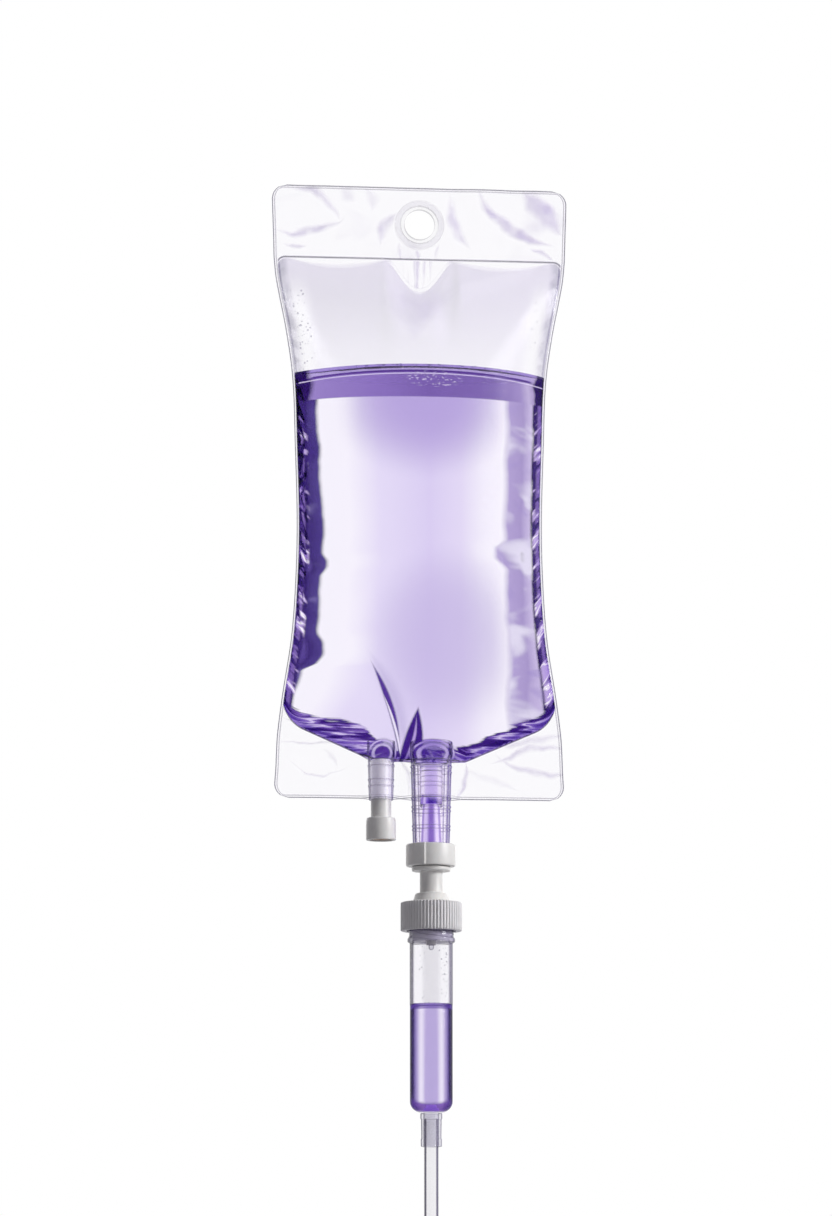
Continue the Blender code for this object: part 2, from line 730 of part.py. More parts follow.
def spike_radius(z):
    """Outer radius of the spike's shaft, which tapers from the stop flange to the point."""
    start, end = STOP_FLANGE_TOP_Z, SPIKE_TIP_Z - SPIKE_POINT_LENGTH
    share = min(max((z - start) / (end - start), 0.0), 1.0)
    shaft_end = SPIKE_TIP_RADIUS + (SPIKE_RADIUS - SPIKE_TIP_RADIUS) * SPIKE_SHAFT_END_SHARE
    if z <= end:
        return SPIKE_RADIUS + (shaft_end - SPIKE_RADIUS) * share
    point = (z - end) / SPIKE_POINT_LENGTH
    return shaft_end + (SPIKE_TIP_RADIUS - shaft_end) * min(point, 1.0)


def make_outlet_port():
    x = OUTLET_PORT_X
    top, end = PORT_TOP_Z, OUTLET_TUBE_END_Z
    wall = OUTLET_TUBE_WALL
    turned("outlet_port_tube", [
        (OUTLET_TUBE_TOP_RADIUS, top), (OUTLET_TUBE_END_RADIUS, end),
        (OUTLET_TUBE_END_RADIUS - wall, end), (OUTLET_TUBE_TOP_RADIUS - wall, top),
    ], clear_rigid("outlet_port_tube"), x, closed=True)

    inset = wall + SEAT_GAP
    sleeve_top = outlet_tube_radius(MEMBRANE_TUBE_TOP_Z) - inset
    sleeve_end = OUTLET_TUBE_END_RADIUS - inset
    bore = SPIKE_RADIUS + SEAT_GAP
    turned("membrane_tube", [
        (sleeve_top, MEMBRANE_TUBE_TOP_Z), (sleeve_end, end), (sleeve_end, MEMBRANE_TUBE_END_Z),
        (bore, MEMBRANE_TUBE_END_Z), (bore, MEMBRANE_TUBE_TOP_Z),
    ], clear_rigid("membrane_tube"), x, closed=True)

    rim = bore - SEAT_GAP
    membrane_end = MEMBRANE_Z - MEMBRANE_THICKNESS
    hole = spike_radius(membrane_end) + SEAT_GAP
    turned("port_membrane", [
        (rim, MEMBRANE_Z), (rim, membrane_end), (hole, membrane_end), (hole, MEMBRANE_Z),
    ], clear_rigid("port_membrane"), x, SMALL_STEPS, closed=True)

    fluid_top = PORT_TOP_Z
    wide = OUTLET_TUBE_TOP_RADIUS - wall - 2 * SEAT_GAP
    wide_end = MEMBRANE_TUBE_TOP_Z + SEAT_GAP
    wide_end_radius = outlet_tube_radius(wide_end) - wall - SEAT_GAP
    fluid_end = MEMBRANE_Z + SEAT_GAP
    point_start = SPIKE_TIP_Z - SPIKE_POINT_LENGTH
    around_shaft = [(spike_radius(fluid_end) + SEAT_GAP, fluid_end)]
    if point_start > fluid_end + SEAT_GAP:
        around_shaft.append((spike_radius(point_start) + SEAT_GAP, point_start))
    over_tip = SPIKE_TIP_Z + SEAT_GAP
    turned("port_fluid", [
        (0.0, fluid_top), (wide, fluid_top), (wide_end_radius, wide_end), (rim, wide_end), (rim, fluid_end),
        *around_shaft, (SPIKE_TIP_RADIUS + SEAT_GAP, over_tip), (0.0, over_tip),
    ], violet_fluid("port_fluid"), x, SMALL_STEPS)

    soft = COLLAR_EDGE_RADIUS
    socket = sleeve_end + SEAT_GAP
    floor = MEMBRANE_TUBE_END_Z - SEAT_GAP
    turned("port_collar", [
        (COLLAR_RADIUS - soft, COLLAR_TOP_Z), (COLLAR_RADIUS, COLLAR_TOP_Z - soft),
        (COLLAR_RADIUS, COLLAR_END_Z + soft), (COLLAR_RADIUS - soft, COLLAR_END_Z),
        (bore, COLLAR_END_Z), (bore, floor), (socket, floor), (socket, COLLAR_TOP_Z),
    ], white_plastic("port_collar"), x, closed=True)


def make_spike(mover):
    """The white piercing spike, with its stop flange, captive flange and drop former."""
    bore = SPIKE_BORE_RADIUS
    neck = SPIKE_RADIUS
    stop = STOP_FLANGE_RADIUS
    soft = STOP_FLANGE_EDGE
    point_start = SPIKE_TIP_Z - SPIKE_POINT_LENGTH
    former_top = CAPTIVE_FLANGE_END_Z
    former_end = former_top - DROP_FORMER_LENGTH
    dome_middle = (SHOULDER_END_RADIUS + DOME_RADIUS) / 2
    dome_top = CAPTIVE_FLANGE_TOP_Z + DOME_HEIGHT + RING_LIP_THICKNESS
    spike = turned("spike", [
        (bore, SPIKE_TIP_Z), (SPIKE_TIP_RADIUS, SPIKE_TIP_Z), (spike_radius(point_start), point_start),
        (neck, STOP_FLANGE_TOP_Z), (stop - soft, STOP_FLANGE_TOP_Z), (stop, STOP_FLANGE_TOP_Z - soft),
        (stop, STOP_FLANGE_END_Z + soft), (stop - soft, STOP_FLANGE_END_Z), (neck, STOP_FLANGE_END_Z),
        (neck, SHOULDER_TOP_Z), (SHOULDER_TOP_RADIUS, SHOULDER_TOP_Z), (SHOULDER_END_RADIUS, SHOULDER_END_Z),
        (dome_middle, dome_top - DOME_HEIGHT / 4), (DOME_RADIUS, dome_top - DOME_HEIGHT),
        (DOME_RADIUS, CAPTIVE_FLANGE_TOP_Z), (CAPTIVE_FLANGE_RADIUS, CAPTIVE_FLANGE_TOP_Z),
        (CAPTIVE_FLANGE_RADIUS, CAPTIVE_FLANGE_END_Z), (DROP_FORMER_RADIUS, former_top),
        (DROP_FORMER_END_RADIUS + bore / 2, former_end), (bore, former_end),
    ], white_plastic("spike"), OUTLET_PORT_X, closed=True, parent=mover, z=SHOULDER_TOP_Z)
    lean = math.atan2(SPIKE_POINT_LENGTH, 2 * SPIKE_RADIUS)
    reach = 2 * SPIKE_LENGTH_IN_PORT
    block = box_cutter("spike_point_cutter", (-reach / 2, -reach / 2, 0.0), (reach / 2, reach / 2, reach))
    middle = Vector((OUTLET_PORT_X, 0.0, SPIKE_TIP_Z - SPIKE_POINT_LENGTH / 2))
    turn = Matrix.Rotation(lean, 4, "Y")
    block.matrix_world = Matrix.Translation(middle + turn @ Vector((0.0, 0.0, reach / 2))) @ turn
    cut(spike, block)


def ring_bore_radius():
    return CHAMBER_LIP_RADIUS + TURN_GAP


def make_ribbed_ring(mover):
    """The ribbed screw ring: a ribbed disc bored out for the flange and the chamber's neck."""
    loop = []
    pitch = 2 * math.pi / RING_RIB_COUNT
    crest_start, crest_end = RING_RIB_FLAT
    root = RING_RADIUS - RING_RIB_DEPTH
    for rib in range(RING_RIB_COUNT):
        for radius, share in ((root, 0.0), (RING_RADIUS, crest_start), (RING_RADIUS, crest_end)):
            angle = (rib + share) * pitch
            loop.append((radius * math.cos(angle), radius * math.sin(angle)))
    plate = flat_outline("ring_plate", [loop], RING_HEIGHT / 2 - RING_EDGE_BEVEL, CUTTERS)
    plate.data.bevel_depth = RING_EDGE_BEVEL
    plate.data.bevel_resolution = 0
    plate.data.offset = -RING_EDGE_BEVEL
    mesh = curve_to_mesh(plate, "ribbed_ring")
    shade(mesh)
    middle_z = (RING_TOP_Z + RING_END_Z) / 2
    ring = add_part("ribbed_ring", mesh, white_plastic("ribbed_ring"), (OUTLET_PORT_X, 0.0, middle_z), mover)
    over = RING_HEIGHT / 4
    lip = DOME_RADIUS + TURN_GAP
    cavity = CAPTIVE_FLANGE_RADIUS + TURN_GAP
    cavity_end = CAPTIVE_FLANGE_END_Z - TURN_GAP
    bore = ring_bore_radius()
    cutter = turned_cutter("ring_cutter", [
        (0.0, RING_TOP_Z + over), (lip, RING_TOP_Z + over), (lip, RING_LIP_END_Z), (cavity, RING_LIP_END_Z),
        (cavity, cavity_end), (bore, cavity_end), (bore, RING_END_Z - over), (0.0, RING_END_Z - over),
    ], OUTLET_PORT_X)
    cut(ring, cutter)


def make_gasket(mover):
    outer = CHAMBER_NECK_RADIUS
    inner = outer - GASKET_WIDTH
    end = GASKET_TOP_Z - GASKET_THICKNESS
    turned("chamber_gasket", [
        (outer, GASKET_TOP_Z), (outer, end), (inner, end), (inner, GASKET_TOP_Z),
    ], rubber("chamber_gasket", (0.75, 0.75, 0.78)), OUTLET_PORT_X, SMALL_STEPS, closed=True, parent=mover)


def arc_points(radius, centre_r, centre_z, start, end, steps):
    """Points of an arc in a turned profile; angles in degrees from the outward radius."""
    points = []
    for angle in spread(math.radians(start), math.radians(end), steps):
        points.append((centre_r + radius * math.cos(angle), centre_z + radius * math.sin(angle)))
    return points


def make_chamber(mover):
    x = OUTLET_PORT_X
    neck, lip, wall = CHAMBER_NECK_RADIUS, CHAMBER_LIP_RADIUS, CHAMBER_WALL
    outer, inner = CHAMBER_RADIUS, CHAMBER_INSIDE_RADIUS
    corner = CHAMBER_CORNER_RADIUS
    inner_corner = corner - wall
    end, floor = CHAMBER_END_Z, CHAMBER_END_Z + CHAMBER_FLOOR
    lip_top = CHAMBER_LIP_END_Z + CHAMBER_LIP_HEIGHT
    profile = [(neck, CHAMBER_TOP_Z), (neck, lip_top + CHAMBER_LIP_HEIGHT), (lip, lip_top)]
    profile += [(lip, CHAMBER_LIP_END_Z), (outer, CHAMBER_LIP_END_Z - wall)]
    profile += arc_points(corner, outer - corner, end + corner, 0, -90, 4)
    profile += [(LINE_RADIUS, end), (LINE_RADIUS, OUTLET_STUB_END_Z)]
    profile += [(OUTLET_BORE_RADIUS, OUTLET_STUB_END_Z), (OUTLET_BORE_RADIUS, floor)]
    profile += arc_points(inner_corner, inner - inner_corner, floor + inner_corner, -90, 0, 4)
    mouth = neck - 2 * wall
    profile += [(inner, CHAMBER_LIP_END_Z - wall), (mouth, lip_top), (mouth, CHAMBER_TOP_Z)]
    turned("drip_chamber", profile, clear_rigid("drip_chamber"), x, closed=True, parent=mover)

    fluid = inner - SEAT_GAP
    fluid_end = floor + SEAT_GAP
    fluid_corner = inner_corner - SEAT_GAP
    pocket = FILTER_RADIUS + SEAT_GAP
    pocket_top = fluid_end + FILTER_HEIGHT + SEAT_GAP
    fluid_top = fluid_end + CHAMBER_FLUID_HEIGHT
    profile = [(0.0, fluid_top), (fluid, fluid_top)]
    profile += arc_points(fluid_corner, fluid - fluid_corner, fluid_end + fluid_corner, 0, -90, 3)
    profile += [(pocket, fluid_end), (pocket, pocket_top), (0.0, pocket_top)]
    turned("chamber_fluid", profile, violet_fluid("chamber_fluid"), x, SMALL_STEPS, parent=mover)

    turned("chamber_filter", [
        (0.0, fluid_end + FILTER_HEIGHT), (FILTER_RADIUS / 2, fluid_end + FILTER_HEIGHT),
        (FILTER_RADIUS, fluid_end + FILTER_HEIGHT / 2), (FILTER_RADIUS, fluid_end), (0.0, fluid_end),
    ], white_plastic("chamber_filter"), x, SMALL_STEPS, parent=mover)

    sleeve_end = SLEEVE_TOP_Z - SLEEVE_LENGTH
    bore = SLEEVE_BORE_RADIUS
    turned("outlet_sleeve", [
        (SLEEVE_TOP_RADIUS, SLEEVE_TOP_Z), (SLEEVE_END_RADIUS, sleeve_end), (bore, sleeve_end),
        (bore, SLEEVE_TOP_Z),
    ], clear_rigid("outlet_sleeve"), x, SMALL_STEPS, closed=True, parent=mover)


def smooth_route(points):
    """Even points read from a Catmull-Rom curve through the route's own points."""
    ends = [points[0]] + list(points) + [points[-1]]
    fine = []
    for i in range(1, len(ends) - 2):
        a, b, c, d = (Vector(p) for p in ends[i - 1:i + 3])
        for step in range(8):
            t = step / 8
            fine.append(
                0.5 * (2 * b + (c - a) * t + (2 * a - 5 * b + 4 * c - d) * t ** 2 + (3 * b - a - 3 * c + d) * t ** 3)
            )
    fine.append(Vector(points[-1]))
    length = sum((q - p).length for p, q in zip(fine, fine[1:]))
    count = max(round(length / LINE_POINT_SPACING), 2)
    even = [fine[0]]
    walked, target = 0.0, length / count
    for p, q in zip(fine, fine[1:]):
        step = (q - p).length
        while len(even) < count and walked + step >= target * len(even):
            even.append(p.lerp(q, (target * len(even) - walked) / step))
        walked += step
    even.append(fine[-1])
    return even


def make_tube(name, route, mover):
    curve = bpy.data.curves.new(name, "CURVE")
    curve.dimensions = "3D"
    curve.bevel_depth = LINE_RADIUS
    curve.bevel_resolution = 3
    curve.use_fill_caps = True
    points = smooth_route(route)
    spline = curve.splines.new("POLY")
    spline.points.add(len(points) - 1)
    for point, place in zip(spline.points, points):
        point.co = (OUTLET_PORT_X + place[0], 0.0, place[1], 1.0)
    spline.use_smooth = True
    tube = bpy.data.objects.new(name, curve)
    PARTS.objects.link(tube)
    curve.materials.append(clear_rigid(name))
    tube.parent = mover
    tube.matrix_parent_inverse = mover.matrix_world.inverted()


def make_line(mover):
    make_tube("line_tube", LINE_ROUTE, mover)
    make_tube("line_tail", TAIL_ROUTE, mover)

    soft = LINE_RADIUS
    inner, outer, half = COIL_INNER_RADIUS, COIL_OUTER_RADIUS, COIL_HALF_WIDTH
    coil = turned("line_coil", [
        (inner + soft, half), (outer - soft, half), (outer, half - soft), (outer, soft - half),
        (outer - soft, -half), (inner + soft, -half), (inner, soft - half), (inner, half - soft),
    ], clear_rigid("line_coil"), steps=COIL_STEPS, closed=True, parent=mover)
    coil.matrix_world = Matrix.Translation((OUTLET_PORT_X, 0.0, COIL_Z)) @ Matrix.Rotation(math.pi / 2, 4, "X")

    hole_x = (outer - inner) / 2 + SEAT_GAP + outer - math.sqrt(outer ** 2 - (TIE_WIDTH / 2) ** 2)
    hole_y = half + SEAT_GAP
    wall = TIE_THICKNESS
    loops = []
    for grow in (0.0, wall):
        a, b = hole_x + grow, hole_y + grow
        loops.append([(a, b), (-a, b), (-a, -b), (a, -b)])
    plate = flat_outline("coil_tie_plate", loops, TIE_WIDTH / 2, CUTTERS)
    mesh = curve_to_mesh(plate, "coil_tie")
    tie_x = OUTLET_PORT_X - (inner + outer) / 2
    add_part("coil_tie", mesh, white_plastic("coil_tie"), (tie_x, 0.0, COIL_Z), mover)


def rounded_box(name, low, high, bevel, material, mover):
    size = [b - a for a, b in zip(low, high)]
    centre = Vector([(a + b) / 2 for a, b in zip(low, high)])
    bm = bmesh.new()
    bmesh.ops.create_cube(bm, size=1.0, matrix=Matrix.Diagonal((*size, 1.0)))
    mesh = bpy.data.meshes.new(name)
    bm.to_mesh(mesh)
    bm.free()
    box = add_part(name, mesh, material, centre, mover)
    modifier = box.modifiers.new("soft_edges", "BEVEL")
    modifier.width = bevel
    modifier.segments = 1
    modifier.limit_method = "ANGLE"
    return box


def roller_places():
    """The roller's centre at the open and at the shut end of its guide."""
    travel_y = ROLLER_TRAVEL * math.sin(ROLLER_GUIDE_ANGLE)
    travel_z = ROLLER_TRAVEL * math.cos(ROLLER_GUIDE_ANGLE)
    middle_z = -CLAMP_TOP_BELOW_EYELET - CLAMP_LENGTH / 2
    shut_y = -(LINE_RADIUS + SEAT_GAP + ROLLER_RADIUS)
    open_place = Vector((OUTLET_PORT_X, shut_y - travel_y, middle_z + travel_z / 2))
    shut_place = Vector((OUTLET_PORT_X, shut_y, middle_z - travel_z / 2))
    return open_place, shut_place


def make_clamp(mover, roller_mover):
    """The roller clamp: a channel round the line, and a notched roller in inclined slots."""
    x = OUTLET_PORT_X
    top = -CLAMP_TOP_BELOW_EYELET
    end = top - CLAMP_LENGTH
    half = CLAMP_INNER_WIDTH / 2 + CLAMP_WALL
    back = LINE_RADIUS + SEAT_GAP + CLAMP_BACK_WALL
    front = -CLAMP_SIDE_DEPTH
    housing = rounded_box("clamp_housing", (x - half, front, end), (x + half, back, top), CLAMP_EDGE_BEVEL,
                          white_plastic("clamp_housing"), mover)
    inner = CLAMP_INNER_WIDTH / 2
    seat = LINE_RADIUS + SEAT_GAP
    cut(housing, box_cutter("clamp_channel_cutter", (x - inner, front - half, end + CLAMP_END_WALL),
                            (x + inner, seat, top - CLAMP_END_WALL)))
    over = CLAMP_END_WALL
    cut(housing, turned_cutter("clamp_bore_cutter", [
        (0.0, top + over), (seat, top + over), (seat, end - over), (0.0, end - over),
    ], x, SMALL_STEPS))

    axle = ROLLER_AXLE_RADIUS
    open_place, shut_place = roller_places()
    slot_half = axle + SEAT_GAP
    loop = []
    for z_end, start in ((ROLLER_TRAVEL / 2, 0.0), (-ROLLER_TRAVEL / 2, math.pi)):
        for angle in spread(start, start + math.pi, 6):
            loop.append((slot_half * math.cos(angle), z_end + slot_half * math.sin(angle)))
    slot = flat_outline("clamp_slot_plate", [loop], 2 * half, CUTTERS)
    mesh = curve_to_mesh(slot, "clamp_slot_cutter")
    slot = bpy.data.objects.new("clamp_slot_cutter", mesh)
    CUTTERS.objects.link(slot)
    hide_cutter(slot)
    # The outline's own x runs to the rear, its y along the guide
    across = Matrix(((0, 0, 1), (1, 0, 0), (0, 1, 0))).to_4x4()
    tilt = Matrix.Rotation(ROLLER_GUIDE_ANGLE, 4, "X")
    middle = (open_place + shut_place) / 2
    slot.matrix_world = Matrix.Translation(middle) @ tilt @ across
    cut(housing, slot)

    loop = []
    pitch = 2 * math.pi / ROLLER_NOTCHES
    crest_start, crest_end, next_root = ROLLER_NOTCH_FLAT
    root = ROLLER_RADIUS - ROLLER_NOTCH_DEPTH
    for notch in range(ROLLER_NOTCHES):
        for radius, share in ((root, 0.0), (ROLLER_RADIUS, crest_start), (ROLLER_RADIUS, crest_end),
                              (root, next_root)):
            angle = (notch + share) * pitch
            loop.append((radius * math.cos(angle), radius * math.sin(angle)))
    width = inner - SEAT_GAP
    wheel = flat_outline("roller_plate", [loop], width, CUTTERS)
    mesh = curve_to_mesh(wheel, "clamp_roller")
    shade(mesh)
    roller = add_part("clamp_roller", mesh, white_plastic("clamp_roller"), open_place, roller_mover)
    roller.matrix_world = Matrix.Translation(open_place) @ across
    pin = half
    stub = turned_cutter("roller_axle", [(0.0, pin), (axle, pin), (axle, -pin), (0.0, -pin)], 0.0, SMALL_STEPS)
    stub.matrix_world = roller.matrix_world.copy()
    join(roller, stub)


def make_connector(mover, lock_mover, cap_mover):
    """The line's end: a socketed hub with a tapered tip, a spinning lock and a pull-off cap."""
    x = TAIL_X
    top = TAIL_END_Z + HUB_SOCKET_LENGTH - LINE_RADIUS
    socket = LINE_RADIUS + SEAT_GAP
    socket_end = TAIL_END_Z - SEAT_GAP
    flange_top = top - HUB_SOCKET_LENGTH
    flange_end = flange_top - HUB_FLANGE_THICKNESS
    neck_end = flange_end - HUB_NECK_LENGTH
    tip_end = neck_end - HUB_TIP_LENGTH
    bore = HUB_BORE_RADIUS
    turned("line_connector", [
        (HUB_SOCKET_RADIUS, top), (HUB_SOCKET_RADIUS, flange_top + HUB_FLANGE_THICKNESS),
        (HUB_FLANGE_RADIUS, flange_top), (HUB_FLANGE_RADIUS, flange_end), (HUB_NECK_RADIUS, flange_end),
        (HUB_NECK_RADIUS, neck_end), (HUB_TIP_RADIUS, neck_end - SEAT_GAP), (HUB_TIP_END_RADIUS, tip_end),
        (bore, tip_end), (bore, socket_end), (socket, socket_end), (socket, top),
    ], clear_rigid("line_connector"), x, SMALL_STEPS, closed=True, parent=mover)

    lock_top = flange_end - SEAT_GAP
    lock_end = lock_top - LOCK_LENGTH
    roof_end = lock_top - LOCK_ROOF
    turned("connector_collar", [
        (LOCK_RADIUS, lock_top), (LOCK_RADIUS, lock_end), (LOCK_RADIUS - LOCK_WALL, lock_end),
        (LOCK_RADIUS - LOCK_WALL, roof_end), (HUB_NECK_RADIUS + TURN_GAP, roof_end),
        (HUB_NECK_RADIUS + TURN_GAP, lock_top),
    ], white_plastic("connector_collar"), x, SMALL_STEPS, closed=True, parent=lock_mover, z=lock_top)

    cap_bore = HUB_TIP_RADIUS + SEAT_GAP
    cap_top = neck_end - 2 * SEAT_GAP
    cap_floor = tip_end - SEAT_GAP
    cap_end = cap_floor - CAP_FLOOR - CAP_SKIRT_LENGTH
    plug = min(cap_bore + CAP_WALL, LOCK_RADIUS - LOCK_WALL - SEAT_GAP)
    shoulder = lock_end - SEAT_GAP
    soft = CAP_WALL / 3
    turned("connector_cap", [
        (0.0, cap_floor), (cap_bore, cap_floor), (cap_bore, cap_top), (plug, cap_top), (plug, shoulder),
        (CAP_RADIUS - soft, shoulder), (CAP_RADIUS, shoulder - soft), (CAP_RADIUS, cap_end + soft),
        (CAP_RADIUS - soft, cap_end), (0.0, cap_end),
    ], white_plastic("connector_cap"), x, SMALL_STEPS, parent=cap_mover, z=cap_top)


clear_scene()
PARTS = new_collection(PART_NAME)
CUTTERS = new_collection(PART_NAME + "_cutters")

port_axis = (OUTLET_PORT_X, 0.0, COLLAR_END_Z)
spike_mover = axis_empty("spike_axis", port_axis)
ring_mover = axis_empty("ring_axis", (OUTLET_PORT_X, 0.0, RING_TOP_Z))
chamber_mover = axis_empty("chamber_axis", (OUTLET_PORT_X, 0.0, CHAMBER_TOP_Z))
roller_mover = axis_empty("roller_axis", roller_places()[0])
lock_mover = axis_empty("lock_axis", (TAIL_X, 0.0, TAIL_END_Z))
cap_mover = axis_empty("cap_axis", (TAIL_X, 0.0, TAIL_END_Z))

make_films()
make_eyelet_ring()
make_bag_fluid()
make_additive_port()
make_outlet_port()
make_spike(spike_mover)
make_gasket(spike_mover)
make_ribbed_ring(ring_mover)
make_chamber(chamber_mover)
make_line(chamber_mover)
make_clamp(chamber_mover, roller_mover)
make_connector(chamber_mover, lock_mover, cap_mover)
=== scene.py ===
import math
import random

import bpy
from mathutils import Matrix, Vector, noise


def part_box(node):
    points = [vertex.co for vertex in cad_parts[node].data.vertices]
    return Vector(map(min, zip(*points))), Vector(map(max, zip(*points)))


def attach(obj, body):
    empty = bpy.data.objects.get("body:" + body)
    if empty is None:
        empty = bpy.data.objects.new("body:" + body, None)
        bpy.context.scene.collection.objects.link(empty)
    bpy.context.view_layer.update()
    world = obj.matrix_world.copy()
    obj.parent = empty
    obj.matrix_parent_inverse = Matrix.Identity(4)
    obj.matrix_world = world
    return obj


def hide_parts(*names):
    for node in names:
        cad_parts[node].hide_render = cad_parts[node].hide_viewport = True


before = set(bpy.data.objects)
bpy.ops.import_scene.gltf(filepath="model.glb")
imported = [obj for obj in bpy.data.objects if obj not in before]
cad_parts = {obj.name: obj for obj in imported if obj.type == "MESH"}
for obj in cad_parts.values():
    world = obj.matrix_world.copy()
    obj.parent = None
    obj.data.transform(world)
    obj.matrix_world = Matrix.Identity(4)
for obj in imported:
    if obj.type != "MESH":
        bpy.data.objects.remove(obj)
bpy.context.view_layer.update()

mm = 0.001


# camera, light and floor

view = {
    "target": (-0.0014, 0.0, -0.1541),
    "distance": 2.4,
    "azimuth": -6.5,        # degrees, to the left of straight on
    "elevation": -8.5,      # looking up at the bag
    "lens": 180.3,
}

studio = {
    "floorHeight": -1.75,   # a stand holds the bag well above the floor
    "floorSize": 9.0,
    "floorColor": (0.88, 0.88, 0.89),
    "ambient": (0.14, 0.135, 0.15),
    "floorGlow": (0.70, 0.70, 0.71),
    # place, size and power of each soft lamp; the one behind makes no glare through the bag
    "lamps": (
        ("keyLamp", (1.48, -0.72, 0.28), 0.60, 24.5),
        ("fillLamp", (-1.30, -1.20, -0.10), 0.80, 0.3),
        ("topLamp", (0.35, -0.55, 1.30), 0.60, 4.5),
        ("rearLamp", (-0.80, 1.60, 0.40), 0.80, 16.0),
    ),
}


def aimAt(thing, target):
    thing.rotation_euler = (Vector(target) - thing.location).to_track_quat("-Z", "Y").to_euler()


def makeCamera():
    turn, rise = math.radians(view["azimuth"]), math.radians(view["elevation"])
    back = Vector((math.sin(turn) * math.cos(rise), -math.cos(turn) * math.cos(rise), math.sin(rise)))
    data = bpy.data.cameras.new("studioCamera")
    data.lens = view["lens"]
    data.clip_start = 0.05
    camera = bpy.data.objects.new("studioCamera", data)
    bpy.context.scene.collection.objects.link(camera)
    camera.location = Vector(view["target"]) + view["distance"] * back
    aimAt(camera, view["target"])
    bpy.context.scene.camera = camera


# shader maths

class Wire:
    def __init__(self, finish, socket):
        self.finish = finish
        self.socket = socket

    def math(self, operation, *others):
        return self.finish.add("ShaderNodeMath", {"operation": operation}, [self, *others])

    def __add__(self, other):
        return self.math("ADD", other)

    def __sub__(self, other):
        return self.math("SUBTRACT", other)

    def __mul__(self, other):
        return self.math("MULTIPLY", other)

    def __truediv__(self, other):
        return self.math("DIVIDE", other)

    def __rsub__(self, other):
        return self.finish.add("ShaderNodeMath", {"operation": "SUBTRACT"}, [other, self])

    def __neg__(self):
        return self.math("MULTIPLY", -1.0)

    def __abs__(self):
        return self.math("ABSOLUTE")

    __radd__ = __add__
    __rmul__ = __mul__

    def power(self, exponent):
        return self.math("POWER", exponent)

    def top(self, other):
        return self.math("MAXIMUM", other)

    def held(self):
        # kept between 0 and 1
        return self.finish.add("ShaderNodeClamp", {}, {"Value": self})

    def ease(self, start, end):
        # 0 before start, 1 after end, smooth between; end may lie below start
        return self.finish.add("ShaderNodeMapRange", {"interpolation_type": "SMOOTHSTEP"},
                               {"Value": self, "From Min": start, "From Max": end})

    def band(self, middle, half, soft):
        # 1 within half of the middle, fading out over soft
        return abs(self - middle).ease(half + soft, half)


